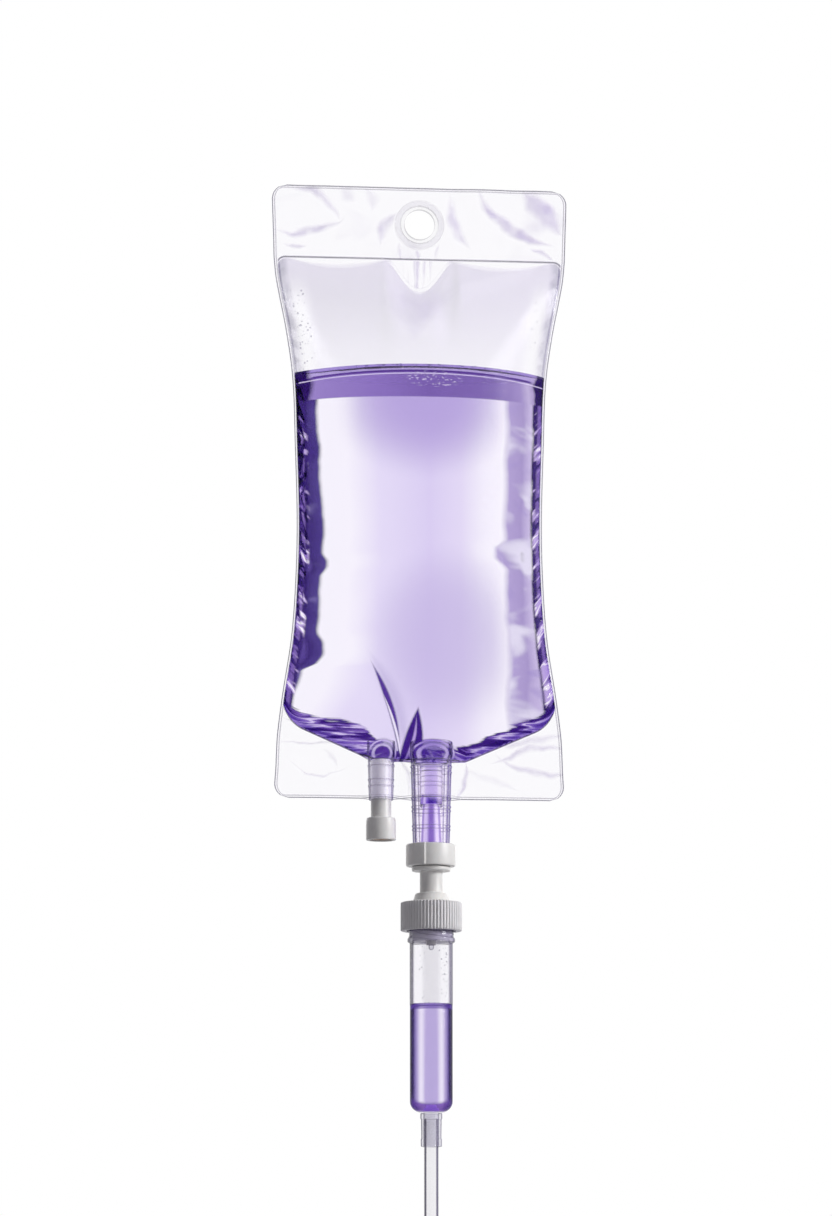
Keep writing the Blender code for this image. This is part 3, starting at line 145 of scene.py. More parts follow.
class Finish:
    def __init__(self, name, **values):
        self.material = bpy.data.materials.new(name)
        self.material.use_nodes = True
        self.tree = self.material.node_tree
        self.shader = self.tree.nodes["Principled BSDF"]
        self.output = self.tree.nodes["Material Output"]
        self.set(self.shader, values)

    def set(self, node, values):
        for name, value in values.items():
            socket = node.inputs[name.replace("_", " ") if isinstance(name, str) else name]
            if isinstance(value, Wire):
                self.tree.links.new(value.socket, socket)
            elif isinstance(value, tuple) and socket.type == "RGBA" and len(value) == 3:
                socket.default_value = (*value, 1.0)
            else:
                socket.default_value = value

    def add(self, kind, settings, inputs, output=0):
        node = self.tree.nodes.new(kind)
        for name, value in settings.items():
            if name == "stops":
                ramp = node.color_ramp
                for index, (place, color) in enumerate(value):
                    stop = ramp.elements[index] if index < 2 else ramp.elements.new(place)
                    stop.position = place
                    stop.color = (*color, 1.0) if isinstance(color, tuple) else (color, color, color, 1.0)
            elif name == "blend":
                node.color_ramp.interpolation = value
            else:
                setattr(node, name, value)
        if not isinstance(inputs, dict):
            inputs = dict(enumerate(inputs))
        self.set(node, inputs)
        return Wire(self, node.outputs[output])

    def place(self, axis=None):
        # the piece's own coordinates in metres, or one of them
        if not hasattr(self, "spot"):
            self.spot = self.add("ShaderNodeTexCoord", {}, {}, "Object")
        if axis is None:
            return self.spot
        return self.add("ShaderNodeSeparateXYZ", {}, [self.spot], "XYZ".index(axis))

    def mark(self, name):
        # a number that the mesh carries at each point
        return self.add("ShaderNodeAttribute", {"attribute_name": name}, {}, "Fac")

    def grain(self, scale, detail=2.0, rough=0.5, stretch=None, warp=0.0, spot=None):
        # soft noise, 0 to 1, with scale in lumps for each metre, unless it gets coordinates of its own
        spot = spot or self.place()
        if stretch:
            spot = self.add("ShaderNodeVectorMath", {"operation": "MULTIPLY"}, [spot, stretch])
        return self.add("ShaderNodeTexNoise", {}, {
            "Vector": spot, "Scale": scale, "Detail": detail, "Roughness": rough, "Distortion": warp})

    def ramp(self, factor, stops, blend="EASE"):
        return self.add("ShaderNodeValToRGB", {"stops": stops, "blend": blend}, [factor])

    def mix(self, factor, first, second):
        # from the first colour to the second
        return self.add("ShaderNodeMix", {"data_type": "RGBA"}, {0: factor, 6: first, 7: second}, 2)

    def facing(self, blend=0.5):
        return self.add("ShaderNodeLayerWeight", {}, {"Blend": blend}, "Facing")

    def bump(self, height, strength, distance):
        return self.add("ShaderNodeBump", {}, {"Height": height, "Strength": strength, "Distance": distance})

    def along(self, direction, start):
        # distance in millimetres from start, measured along a direction of the front (x, z)
        spot = self.add("ShaderNodeVectorMath", {"operation": "DOT_PRODUCT"},
                        [self.place(), (1000 * direction[0], 0.0, 1000 * direction[1])], "Value")
        return spot - (direction[0] * start[0] + direction[1] * start[1])

    def stroke(self, start, end, half, soft, bow=0.0, waver=0.0):
        # a slim leaf between two places of the front, given in millimetres; bow bends it sideways
        run = Vector(end) - Vector(start)
        length = run.length
        run /= length
        share = self.along(run, start) / length
        swell = share * (1.0 - share) * 4.0
        off = self.along((-run.y, run.x), start) - swell * bow + waver
        return (swell * half - abs(off)).ease(-soft, soft)

    def strokes(self, marks, waver):
        # the strongest of several strokes at each point; each ends with its own strength
        total = None
        for *shape, strength in marks:
            leaf = self.stroke(*shape, waver) * strength
            total = leaf if total is None else total.top(leaf)
        return total

    def seeThrough(self, cover, tint):
        # clear where cover is 0, the painted and glossy surface where it is 1
        clear = self.add("ShaderNodeBsdfTransparent", {}, {"Color": tint})
        painted = Wire(self, self.shader.outputs[0])
        blend = self.add("ShaderNodeMixShader", {}, {0: cover, 1: clear, 2: painted})
        self.set(self.output, {"Surface": blend})
        return self.material


def makeStudio():
    scene = bpy.context.scene
    scene.view_settings.view_transform = "Standard"
    scene.cycles.transparent_max_bounces = 40
    world = bpy.data.worlds.new("studioWorld")
    scene.world = world
    world.use_nodes = True
    nodes, links = world.node_tree.nodes, world.node_tree.links
    path = nodes.new("ShaderNodeLightPath")
    seen = path.outputs["Is Camera Ray"]
    for name in ("Is Glossy Ray", "Is Transmission Ray"):
        either = nodes.new("ShaderNodeMath")
        either.operation = "MAXIMUM"
        links.new(seen, either.inputs[0])
        links.new(path.outputs[name], either.inputs[1])
        seen = either.outputs[0]
    shade = nodes.new("ShaderNodeMix")
    shade.data_type = "RGBA"
    shade.inputs[6].default_value = (*studio["ambient"], 1.0)
    shade.inputs[7].default_value = (1.0, 1.0, 1.0, 1.0)
    links.new(seen, shade.inputs[0])
    links.new(shade.outputs[2], nodes["Background"].inputs["Color"])

    for name, spot, size, power in studio["lamps"]:
        data = bpy.data.lights.new(name, "AREA")
        data.size = size
        data.energy = power
        lamp = bpy.data.objects.new(name, data)
        lamp.visible_transmission = False
        lamp.visible_glossy = spot[1] < 0.0
        scene.collection.objects.link(lamp)
        lamp.location = spot
        aimAt(lamp, view["target"])

    bpy.ops.object.select_all(action="DESELECT")
    bpy.ops.mesh.primitive_plane_add(size=studio["floorSize"], location=(0.0, 0.0, studio["floorHeight"]))
    floor = bpy.context.object
    floor.name = "studioFloor"
    paper = Finish("floorPaper", Roughness=0.85)
    paper.set(paper.shader, {"Base Color": studio["floorColor"], "Emission Strength": 1.0})
    camera, glossy, through = (paper.add("ShaderNodeLightPath", {}, {}, f"Is {kind} Ray")
                               for kind in ("Camera", "Glossy", "Transmission"))
    seen = camera.top(glossy).top(through)
    paper.set(paper.shader, {"Emission Color": paper.mix(seen, (0.0, 0.0, 0.0), studio["floorGlow"])})
    floor.data.materials.append(paper.material)


# finishes

def whiteMoulding(name, color=(0.80, 0.79, 0.775), rough=0.42, paintedLight=(), paintedLightFrom=-400.0, darkUnderPaintedLight=0.0):
    # satin moulding with faint flow clouding and a fine bead-blast grain
    finish = Finish(name, IOR=1.49)
    cloud = finish.grain(90.0, 3.0, 0.6)
    tone = finish.mix(cloud.ease(0.35, 0.7), color, tuple(0.93 * value for value in color))
    height = finish.grain(2600.0, 2.0, 0.6) + cloud * 0.6
    finish.set(finish.shader, {
        "Base Color": tone,
        "Roughness": rough + cloud * 0.12 - 0.06,
        "Normal": finish.bump(height, 0.10, 0.0002),
        "Subsurface Weight": 0.15,
        "Subsurface Radius": (0.0022, 0.0019, 0.0017),
    })
    if paintedLight:
        # painted light that its clear surroundings carry to it, given off from one height up, with its own
        # colour darkened there by a share; stops from face on to edge on
        lit = (finish.place("Z") * 1000).ease(paintedLightFrom - 0.4, paintedLightFrom + 0.4)
        light = finish.ramp(finish.facing(0.5), [(place, srgb(*shade)) for place, shade in paintedLight], "LINEAR")
        finish.set(finish.shader, {
            "Base Color": finish.mix(lit * darkUnderPaintedLight, tone, (0.0, 0.0, 0.0)),
            "Emission Color": finish.mix(lit, (0.0, 0.0, 0.0), light),
            "Emission Strength": 1.0,
        })
    return finish.material


def rubber(name, color):
    finish = Finish(name, IOR=1.5)
    cloud = finish.grain(240.0, 4.0, 0.65)
    finish.set(finish.shader, {
        "Base Color": finish.mix(cloud, color, tuple(0.72 * value for value in color)),
        "Roughness": 0.62 + cloud * 0.2,
        "Normal": finish.bump(finish.grain(1900.0, 3.0), 0.2, 0.0002),
    })
    return finish.material


def srgb(red, green, blue):
    # a colour as it is seen on a screen, 0 to 255, in the values that a shader takes
    return tuple((value / 255) ** 2.2 for value in (red, green, blue))


def clearMoulding(name, edge=(105, 100, 128), body=(226, 223, 234), tint=(0.965, 0.962, 0.985), depth=0.72,
                  haze=0.04, rings=(), frost=None, wetBelow=None, faceOnShade=0.0, gloss=0.5):
    # thin clear wall: nearly nothing face on, grey violet where the wall is seen edge on, partly its own tint
    # over the longer path and partly painted shade
    finish = Finish(name, IOR=1.5, Roughness=0.07)
    flow = finish.grain(160.0, 3.0, 0.6, (1.0, 1.0, 0.25))
    side = finish.facing(0.5)
    height = finish.place("Z") * 1000
    # a share of painted shade where the wall is seen face on, so that the parts beside it look brighter
    cover = side.ease(0.40, 0.78) * depth + (1.0 + flow.ease(0.5, 0.8)) * haze + side.ease(0.15, 0.03) * faceOnShade
    if wetBelow:
        cover = cover * (1.0 - height.ease(wetBelow + 0.2, wetBelow - 0.2) * 0.85)
    body, edge = srgb(*body), srgb(*edge)
    tone = finish.ramp(side, [(0.0, body), (0.46, body), (0.70, edge), (1.0, edge)])
    for ring in rings:
        line = height.band(ring, 0.10, 0.22)
        cover = cover + line * 0.26
        tone = finish.mix(line * 0.7, tone, edge)
    if frost:
        # from one height to the other the wall is frosted, with the lines of its thread
        top, end, amount = frost
        frosted = height.ease(end - 0.3, end + 0.3) * height.ease(top + 0.3, top - 0.3)
        cover = cover + frosted * amount
        slant = height + finish.place("X") * 110
        lines = slant.math("PINGPONG", 0.9).ease(0.62, 0.86) * frosted
        tone = finish.mix(lines * 0.6, tone, edge)
    finish.set(finish.shader, {
        "Base Color": tone,
        "Normal": finish.bump(flow, 0.08, 0.0006),
        "Specular IOR Level": gloss,
    })
    return finish.seeThrough(cover.held(), tint)


def dropFinish(name):
    finish = Finish(name, IOR=1.5, Roughness=0.03)
    # painted highlight face on and painted shade edge on
    side = finish.facing(0.5)
    finish.set(finish.shader, {
        "Base Color": finish.ramp(side, [(0.0, srgb(250, 250, 255)), (0.30, srgb(225, 222, 238)),
                                         (0.60, srgb(96, 88, 120)), (0.9, srgb(60, 50, 90))]),
    })
    return finish.seeThrough((side.ease(0.12, 0.6) * 0.85 + 0.15).held(), (0.98, 0.98, 1.0))


# making pieces

def clearSelection():
    if bpy.context.mode != "OBJECT":
        bpy.ops.object.mode_set(mode="OBJECT")
    bpy.ops.object.select_all(action="DESELECT")


def finishPiece(piece, name, body, material, nodes=(), smooth=35.0):
    piece.name = name
    piece.data.name = name
    clearSelection()
    piece.select_set(True)
    bpy.context.view_layer.objects.active = piece
    bpy.ops.object.transform_apply(location=True, rotation=True, scale=True)
    if smooth:
        bpy.ops.object.shade_smooth_by_angle(angle=math.radians(smooth))
    if material:
        piece.data.materials.clear()
        piece.data.materials.append(material)
    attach(piece, body)
    if nodes:
        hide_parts(*nodes)
    return piece


def softCorners(outline, soft):
    # rounds each corner of a closed outline of (radius, height) or (radius, height, own softness)
    rounded = []
    count = len(outline)
    for index, point in enumerate(outline):
        here = Vector(point[:2])
        before = Vector(outline[index - 1][:2])
        after = Vector(outline[(index + 1) % count][:2])
        want = point[2] if len(point) > 2 else soft
        cutBack = min(want, 0.45 * (here - before).length, 0.45 * (here - after).length)
        if cutBack < 1e-6 or here.x < 1e-7:
            rounded.append(here)
            continue
        start = here + (before - here).normalized() * cutBack
        end = here + (after - here).normalized() * cutBack
        for step in range(4):
            t = step / 3
            rounded.append((1 - t) ** 2 * start + 2 * t * (1 - t) * here + t ** 2 * end)
    return rounded


def spinOutline(outline, x, steps=96, soft=0.00015):
    # a closed outline of (radius, height), spun about the vertical line at x
    points = softCorners(outline, soft)
    clearSelection()
    bpy.ops.mesh.primitive_circle_add(vertices=len(points), radius=0.01, fill_type="NOTHING")
    piece = bpy.context.object
    piece.location = (0.0, 0.0, 0.0)
    for vertex, point in zip(piece.data.vertices, points):
        vertex.co = (x + point.x, 0.0, point.y)
    bpy.ops.object.mode_set(mode="EDIT")
    bpy.ops.mesh.select_mode(type="EDGE")
    bpy.ops.mesh.select_all(action="DESELECT")
    bpy.ops.object.mode_set(mode="OBJECT")
    for edge in piece.data.edges:
        ends = [piece.data.vertices[i].co.x - x for i in edge.vertices]
        edge.select = max(ends) < 1e-7
    bpy.ops.object.mode_set(mode="EDIT")
    bpy.ops.mesh.delete(type="EDGE")
    bpy.ops.mesh.select_all(action="SELECT")
    bpy.ops.mesh.spin(steps=steps, angle=2 * math.pi, center=(x, 0.0, 0.0), axis=(0.0, 0.0, 1.0))
    bpy.ops.mesh.select_all(action="SELECT")
    bpy.ops.mesh.remove_doubles(threshold=0.000002)
    bpy.ops.mesh.normals_make_consistent(inside=False)
    bpy.ops.object.mode_set(mode="OBJECT")
    return piece


def cutRibs(piece, x, reach, heights, ribs, depth, crestShape):
    # presses grooves between upright ribs into the wall that lies beyond a reach from the vertical line at x
    width, flat = crestShape
    for vertex in piece.data.vertices:
        away = Vector((vertex.co.x - x, vertex.co.y))
        if away.length > reach and heights[0] <= vertex.co.z <= heights[1]:
            angle = math.atan2(away.y, away.x) / (2 * math.pi) * ribs
            crestLight = smoothstep(abs(2 * (angle - math.floor(angle)) - 1) / width - flat)
            scale = (away.length - depth * (1 - crestLight)) / away.length
            vertex.co.x, vertex.co.y = x + away.x * scale, away.y * scale


def joinPieces(pieces):
    clearSelection()
    for piece in pieces:
        piece.select_set(True)
    bpy.context.view_layer.objects.active = pieces[0]
    bpy.ops.object.join()
    return pieces[0]


def scatterBeads(places):
    # small round beads, each a ball of its own at (place, radius)
    clearSelection()
    bpy.ops.mesh.primitive_ico_sphere_add(subdivisions=2, radius=1.0)
    seed = bpy.context.object
    beads = []
    for spot, radius in places:
        bead = seed.copy()
        bead.data = seed.data.copy()
        bpy.context.scene.collection.objects.link(bead)
        bead.data.transform(Matrix.Translation(spot) @ Matrix.Scale(radius, 4))
        beads.append(bead)
    bpy.data.objects.remove(seed, do_unlink=True)
    return joinPieces(beads)


# infusion line, first because the camera and the cord set the view

line = {
    "radius": 2.8 * mm,
    "bend": 25.0 * mm,               # radius of the curve into the coil
    "coilRadii": (42.0, 25.2),       # millimetres, outer and inner turn
    "pitch": 5.6,                    # a diameter between turns
    "coilHeight": -0.5241,
    "tailEnd": -0.5755,
    "tailDrift": (0.0, 0.0, 0.0, -0.0001, -0.0003, -0.0004),
    "pointsPerTurn": 30,
    "runOut": 0.12,                  # share of a turn over which the last turn comes back to the middle
    # painted light and shade from face on to edge on: a painted highlight along the bore, painted grey violet
    # shade at the sides
    "tones": (
        (0.0, (244, 242, 249)), (0.05, (232, 229, 241)), (0.10, (216, 212, 230)), (0.15, (246, 245, 250)),
        (0.20, (232, 230, 240)), (0.27, (150, 144, 172)), (0.36, (104, 98, 128)), (1.0, (84, 78, 108)),
    ),
}


def lineRoute(x):
    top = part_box("line_tube")[1].z
    coilZ = line["coilHeight"]
    outer, inner = (value * mm for value in line["coilRadii"])
    bend, radius = line["bend"], line["radius"]
    meet = math.asin(math.sqrt((bend + outer) ** 2 - bend ** 2) / (bend + outer))
    bendZ = coilZ + (bend + outer) * math.sin(meet)
    route = [Vector((x, 0.0, top + (bendZ - top) * i / 8)) for i in range(8)]
    for i in range(9):
        angle = math.pi + meet * i / 8
        ahead = i / 8
        route.append(Vector((x + bend + bend * math.cos(angle), radius * ahead * ahead * (3 - 2 * ahead),
                             bendZ + bend * math.sin(angle))))
    layers = round((outer - inner) / (line["pitch"] * mm))
    inTurns, holdTurns, outTurns = layers, 1.0, layers
    total = inTurns + holdTurns + outTurns + meet / (2 * math.pi)
    steps = round(total * line["pointsPerTurn"])
    for i in range(1, steps + 1):
        turns = total * i / steps
        if turns < inTurns:
            away, side = turns, 1.0
        elif turns < inTurns + holdTurns:
            t = turns - inTurns
            away, side = layers, 1 - 2 * t * t * (3 - 2 * t)
        else:
            away, side = max(layers - (turns - inTurns - holdTurns), 0.0), -1.0
        side *= min((total - turns) / line["runOut"], 1.0)
        reach = outer - away * line["pitch"] * mm
        angle = meet - 2 * math.pi * turns
        route.append(Vector((x + reach * math.cos(angle), radius * side, coilZ + reach * math.sin(angle))))
    drift = line["tailDrift"]
    for i in range(1, len(drift)):
        z = coilZ + (line["tailEnd"] - coilZ) * i / (len(drift) - 1)
        route.append(Vector((x + outer + drift[i], 0.0, z)))
    return route


def lineFinish():
    # clear soft tube: pale, with a painted highlight along the bore and painted grey violet shade at the sides
    finish = Finish("lineVinyl", IOR=1.5, Roughness=0.12)
    side = finish.facing(0.5)
    cloud = finish.grain(60.0, 2.0)
    tone = finish.ramp(side, [(place, srgb(*shade)) for place, shade in line["tones"]])
    finish.set(finish.shader, {"Base Color": tone, "Normal": finish.bump(cloud, 0.05, 0.001)})
    cover = side.ease(0.20, 0.38) * 0.72 + 0.09 + cloud * 0.02
    return finish.seeThrough(cover.held(), (0.985, 0.982, 0.992))


def makeLine(x):
    route = lineRoute(x)
    length = sum((b - a).length for a, b in zip(route, route[1:]))
    curve = bpy.data.curves.new("infusionLine", "CURVE")
    curve.dimensions = "3D"
    curve.bevel_depth = line["radius"]
    curve.bevel_resolution = 7
    curve.use_fill_caps = True
    curve.resolution_u = 1
    spline = curve.splines.new("POLY")
    spline.points.add(len(route) - 1)
    for point, spot in zip(spline.points, route):
        point.co = (*spot, 1.0)
    tube = bpy.data.objects.new("infusionLine", curve)
    bpy.context.scene.collection.objects.link(tube)
    curve.materials.append(lineFinish())
    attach(tube, "chamber")
    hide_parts("line_tube", "line_tail", "line_coil")
    return tube, length


makeCamera()
portX = (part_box("drip_chamber")[0].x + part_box("drip_chamber")[1].x) / 2
lineTube, lineLength = makeLine(portX)
makeStudio()
print("line", round(lineLength, 4), "m; camera, lamps and floor")


# the bag's shape, which both films and the fluid follow

bag = {
    "width": 115.0 * mm,
    "length": 245.0 * mm,
    "wall": 0.4 * mm,
    "corner": 6.0 * mm,
    "top": 15.0 * mm,            # above the eyelet
    "weldTop": 14.0 * mm,        # below the eyelet
    "weldBottom": 15.2 * mm,
    "weldSide": 0.8 * mm,
    "topSpread": 1.7 * mm,       # the empty top flap lies a little wider than the filled part
    "weldCorner": 9.0 * mm,      # radius where the side seams turn into the lower weld
    "topCorner": 4.0 * mm,
    "pocket": 54.0 * mm,
    "drawIn": 8.8 * mm,
    "dipDepth": 12.0 * mm,
    "dipHalfWidth": 15.0 * mm,
    "cornerRise": 17.0 * mm,
    "weldGap": 0.3 * mm,
    "eyeletHole": 7.75 * mm,     # radius, round the grommet's barrel
    "level": -61.5 * mm,
    "stations": (
        (0.00, 0.09, 0.00), (0.04, 0.16, 0.32), (0.08, 0.30, 0.54), (0.15, 0.56, 0.76), (0.24, 0.79, 0.91),
        (0.37, 0.90, 0.98), (0.53, 1.00, 1.00), (0.65, 0.94, 0.97), (0.76, 0.76, 0.90), (0.87, 0.38, 0.65),
        (0.95, 0.15, 0.36), (1.00, 0.09, 0.00),
    ),
    "filmColumns": 132,
    "filmRows": 236,
}

ports = {
    "additiveX": -15.2 * mm,
    "additiveRadii": (5.4 * mm, 4.8 * mm),
    "outletX": 4.6 * mm,
    "outletRadii": (8.3 * mm, 7.25 * mm),
    "additiveEnd": -230.6 * mm,
    "outletEnd": -247.4 * mm,
    "wrapGap": 0.4 * mm,
    "wrapFoot": 1.45,            # where the film leaves the tube for the weld, in the tube's radii
    "top": -207.0 * mm,
}

bagBottom = bag["top"] - bag["length"]
pocketTop = -bag["weldTop"]
pocketBottom = bagBottom + bag["weldBottom"]


def smoothstep(value):
    t = min(max(value, 0.0), 1.0)
    return t * t * (3 - 2 * t)


def stationValue(share, column):
    stations = bag["stations"]
    if share <= 0:
        return stations[0][column]
    if share >= 1:
        return stations[-1][column]
    index = 0
    while stations[index + 1][0] < share:
        index += 1
    a, b = stations[index], stations[index + 1]
    before, after = stations[max(index - 1, 0)], stations[min(index + 2, len(stations) - 1)]
    span = b[0] - a[0]
    t = (share - a[0]) / span
    slopeA = (b[column] - before[column]) / (b[0] - before[0]) * span
    slopeB = (after[column] - a[column]) / (after[0] - a[0]) * span
    t2, t3 = t * t, t * t * t
    return ((2 * t3 - 3 * t2 + 1) * a[column] + (t3 - 2 * t2 + t) * slopeA
            + (3 * t2 - 2 * t3) * b[column] + (t3 - t2) * slopeB)


def pocketShare(z):
    return (pocketTop - z) / (pocketTop - pocketBottom)


def filmHalfWidth(z):
    share = pocketShare(z)
    if share < 0:
        draw = bag["stations"][0][1] * smoothstep(1 + share * 6)
    elif share > 1:
        draw = bag["stations"][-1][1] * smoothstep(1 - (share - 1) * 12)
    else:
        draw = stationValue(share, 1)
    half = bag["width"] / 2 - bag["drawIn"] * draw + bag["topSpread"] * smoothstep(1 + z / 0.075)
    fromEnd = min(bag["top"] - z, z - bagBottom)
    corner = bag["corner"]
    if fromEnd < corner:
        short = corner - max(fromEnd, 0.0)
        half -= corner - math.sqrt(max(corner ** 2 - short ** 2, 0.0))
    return half


def segmentRise(x, halfWidth, rise):
    if abs(x) >= halfWidth or rise <= 0:
        return 0.0
    radius = (halfWidth ** 2 + rise ** 2) / (2 * rise)
    return math.sqrt(radius ** 2 - x ** 2) - (radius - rise)


def dipAt(x, z):
    depth = bag["dipDepth"]
    dip = depth * (1 - smoothstep((abs(x) / bag["dipHalfWidth"] - 0.45) / 0.55))
    return dip * (1 - smoothstep((pocketTop - z - depth) / (3 * depth)))


def riseAt(x, z):
    rise = bag["cornerRise"]
    portZone = (ports["outletX"] - ports["additiveX"]) / 2 + ports["outletRadii"][0]
    side = max(abs(x) - portZone, 0.0) / (bag["width"] / 2 - portZone)
    corner = bag["weldCorner"]
    short = max(corner - max(filmHalfWidth(z) - bag["weldSide"] - abs(x), 0.0), 0.0)
    lift = rise * min(side, 1.0) + corner - math.sqrt(corner ** 2 - short ** 2)
    return lift * (1 - smoothstep((z - pocketBottom - rise) / (2 * rise)))


def pocketHalf(x, z):
    share = pocketShare(z + dipAt(x, z) - riseAt(x, z))
    if share <= 0 or share >= 1:
        return 0.0
    return segmentRise(x, filmHalfWidth(z) - bag["weldSide"], stationValue(share, 2) * bag["pocket"] / 2)


def overTube(offset, radius):
    foot = ports["wrapFoot"] * radius
    touch = radius ** 2 / foot
    distance = abs(offset)
    if distance >= foot:
        return 0.0
    if distance <= touch:
        return math.sqrt(radius ** 2 - distance ** 2)
    return math.sqrt(radius ** 2 - touch ** 2) * (foot - distance) / (foot - touch)


def tunnelHalf(x, z):
    # height of the film where it wraps the two ports
    height = 0.0
    for portCentre, radii, end in (
        (ports["outletX"], ports["outletRadii"], ports["outletEnd"]),
        (ports["additiveX"], ports["additiveRadii"], ports["additiveEnd"]),
    ):
        wide = ports["outletRadii"][0]
        reach = smoothstep((ports["top"] + wide - z) / (wide / 2))
        share = (ports["top"] - min(z, ports["top"])) / (ports["top"] - end)
        radius = radii[0] + (radii[1] - radii[0]) * share + ports["wrapGap"]
        height = max(height, overTube(x - portCentre, radius) * reach)
    return height


def filmHalf(x, z):
    height = pocketHalf(x, z)
    if z < ports["top"] + ports["outletRadii"][0]:
        height = max(height, tunnelHalf(x, z))
    return height


# wrinkles: short folds along the sides, creases over the ports and under the eyelet

folds = {
    "sidePitch": 9.0 * mm,
    "sideDepth": 0.4 * mm,
    "sideStart": 0.90,              # share of the half width where the short folds begin
    # each crease: start (x, z), end (x, z), half width, depth
    "creases": (
        ((-20.6 * mm, -179.0 * mm), (-8.2 * mm, -211.5 * mm), 3.4 * mm, 0.8 * mm),
        ((-2.4 * mm, -198.0 * mm), (-6.0 * mm, -216.0 * mm), 4.4 * mm, 1.2 * mm),
    ),
}


def ridgeAt(across, z, side):
    # folded ridge between -1 and 1 that runs in from the seam, and how strong it is there
    seed = 3.1 if across < 0 else 11.7
    seed += 5.3 * side
    wander = noise.noise(Vector((seed, z * 60, 0.4)))
    lean = 1 if noise.noise(Vector((seed + 9, z * 18, 0))) > 0 else -1
    slant = (1 - abs(across)) * 5.0 * lean
    phase = z / folds["sidePitch"] + 0.8 * wander + slant
    saw = abs(2 * (phase - math.floor(phase)) - 1)
    reach = folds["sideStart"] + 0.03 * noise.noise(Vector((seed + 4, z * 45, 2.0)))
    strength = smoothstep((abs(across) - reach + 0.04) / 0.07) * smoothstep((1.0 - abs(across)) / 0.02)
    strength *= 0.45 + 0.75 * smoothstep(0.5 + noise.noise(Vector((seed + 2, z * 34, 5.0))))
    return 2 * smoothstep(saw) - 1, strength


def creaseAt(x, z):
    # depth of the creases at a point of the front
    depth = 0.0
    for (startX, startZ), (endX, endZ), half, deep in folds["creases"]:
        run = Vector((endX - startX, endZ - startZ))
        share = Vector((x - startX, z - startZ)).dot(run) / run.length_squared
        if -0.2 < share < 1.2:
            near = Vector((startX, startZ)) + run * share
            away = (Vector((x, z)) - near).length / half
            ends = smoothstep((share + 0.2) / 0.6) * smoothstep((1.2 - share) / 0.3)
            depth += deep * (1 - smoothstep(away)) * ends
    return depth


def swellWrinkle(x, z, side):
    # change in the film's height from its folds, in metres
    half = filmHalfWidth(z) - bag["weldSide"]
    across = x / half
    full = pocketHalf(x, z)
    if full < 0.4 * mm:
        return 0.0
    room = smoothstep(full / (7 * mm))
    ridge, strength = ridgeAt(across, z, side)
    below = smoothstep((bag["level"] + 0.006 - z) / 0.012)
    change = folds["sideDepth"] * ridge * strength * (0.35 + 0.65 * below)
    change -= creaseAt(x, z) if side < 0 else 0.0
    aboveWeld = z - riseAt(x, z) - pocketBottom
    nearWeld = smoothstep((9 * mm - aboveWeld) / (5 * mm))
    change += 0.4 * mm * nearWeld * math.sin((abs(x) + 1.3 * aboveWeld) / (1.3 * mm))
    change += 0.45 * mm * noise.noise(Vector((x * 30, z * 24, 7.0 * side)))
    return change * room


def flapWave(x, z):
    # both films of the flat flaps lean out of true together
    topShare = smoothstep((z - pocketTop - 1 * mm) / (8 * mm))
    lowShare = smoothstep((pocketBottom - 1 * mm - z) / (8 * mm))
    nearEyelet = smoothstep((math.hypot(x, z) - 11.5 * mm) / (9 * mm))
    nearPorts = smoothstep((abs(x + 4 * mm) - 22 * mm) / (14 * mm))
    wave = 1.1 * noise.noise(Vector((x * 42, z * 30, 3.0))) + 0.5 * noise.noise(Vector((x * 95, z * 70, 9.0)))
    return mm * wave * (topShare * nearEyelet + lowShare * nearPorts)


def writeMarks(mesh, marks):
    for label, values in marks.items():
        mesh.attributes.new(label, "FLOAT", "POINT").data.foreach_set("value", values)


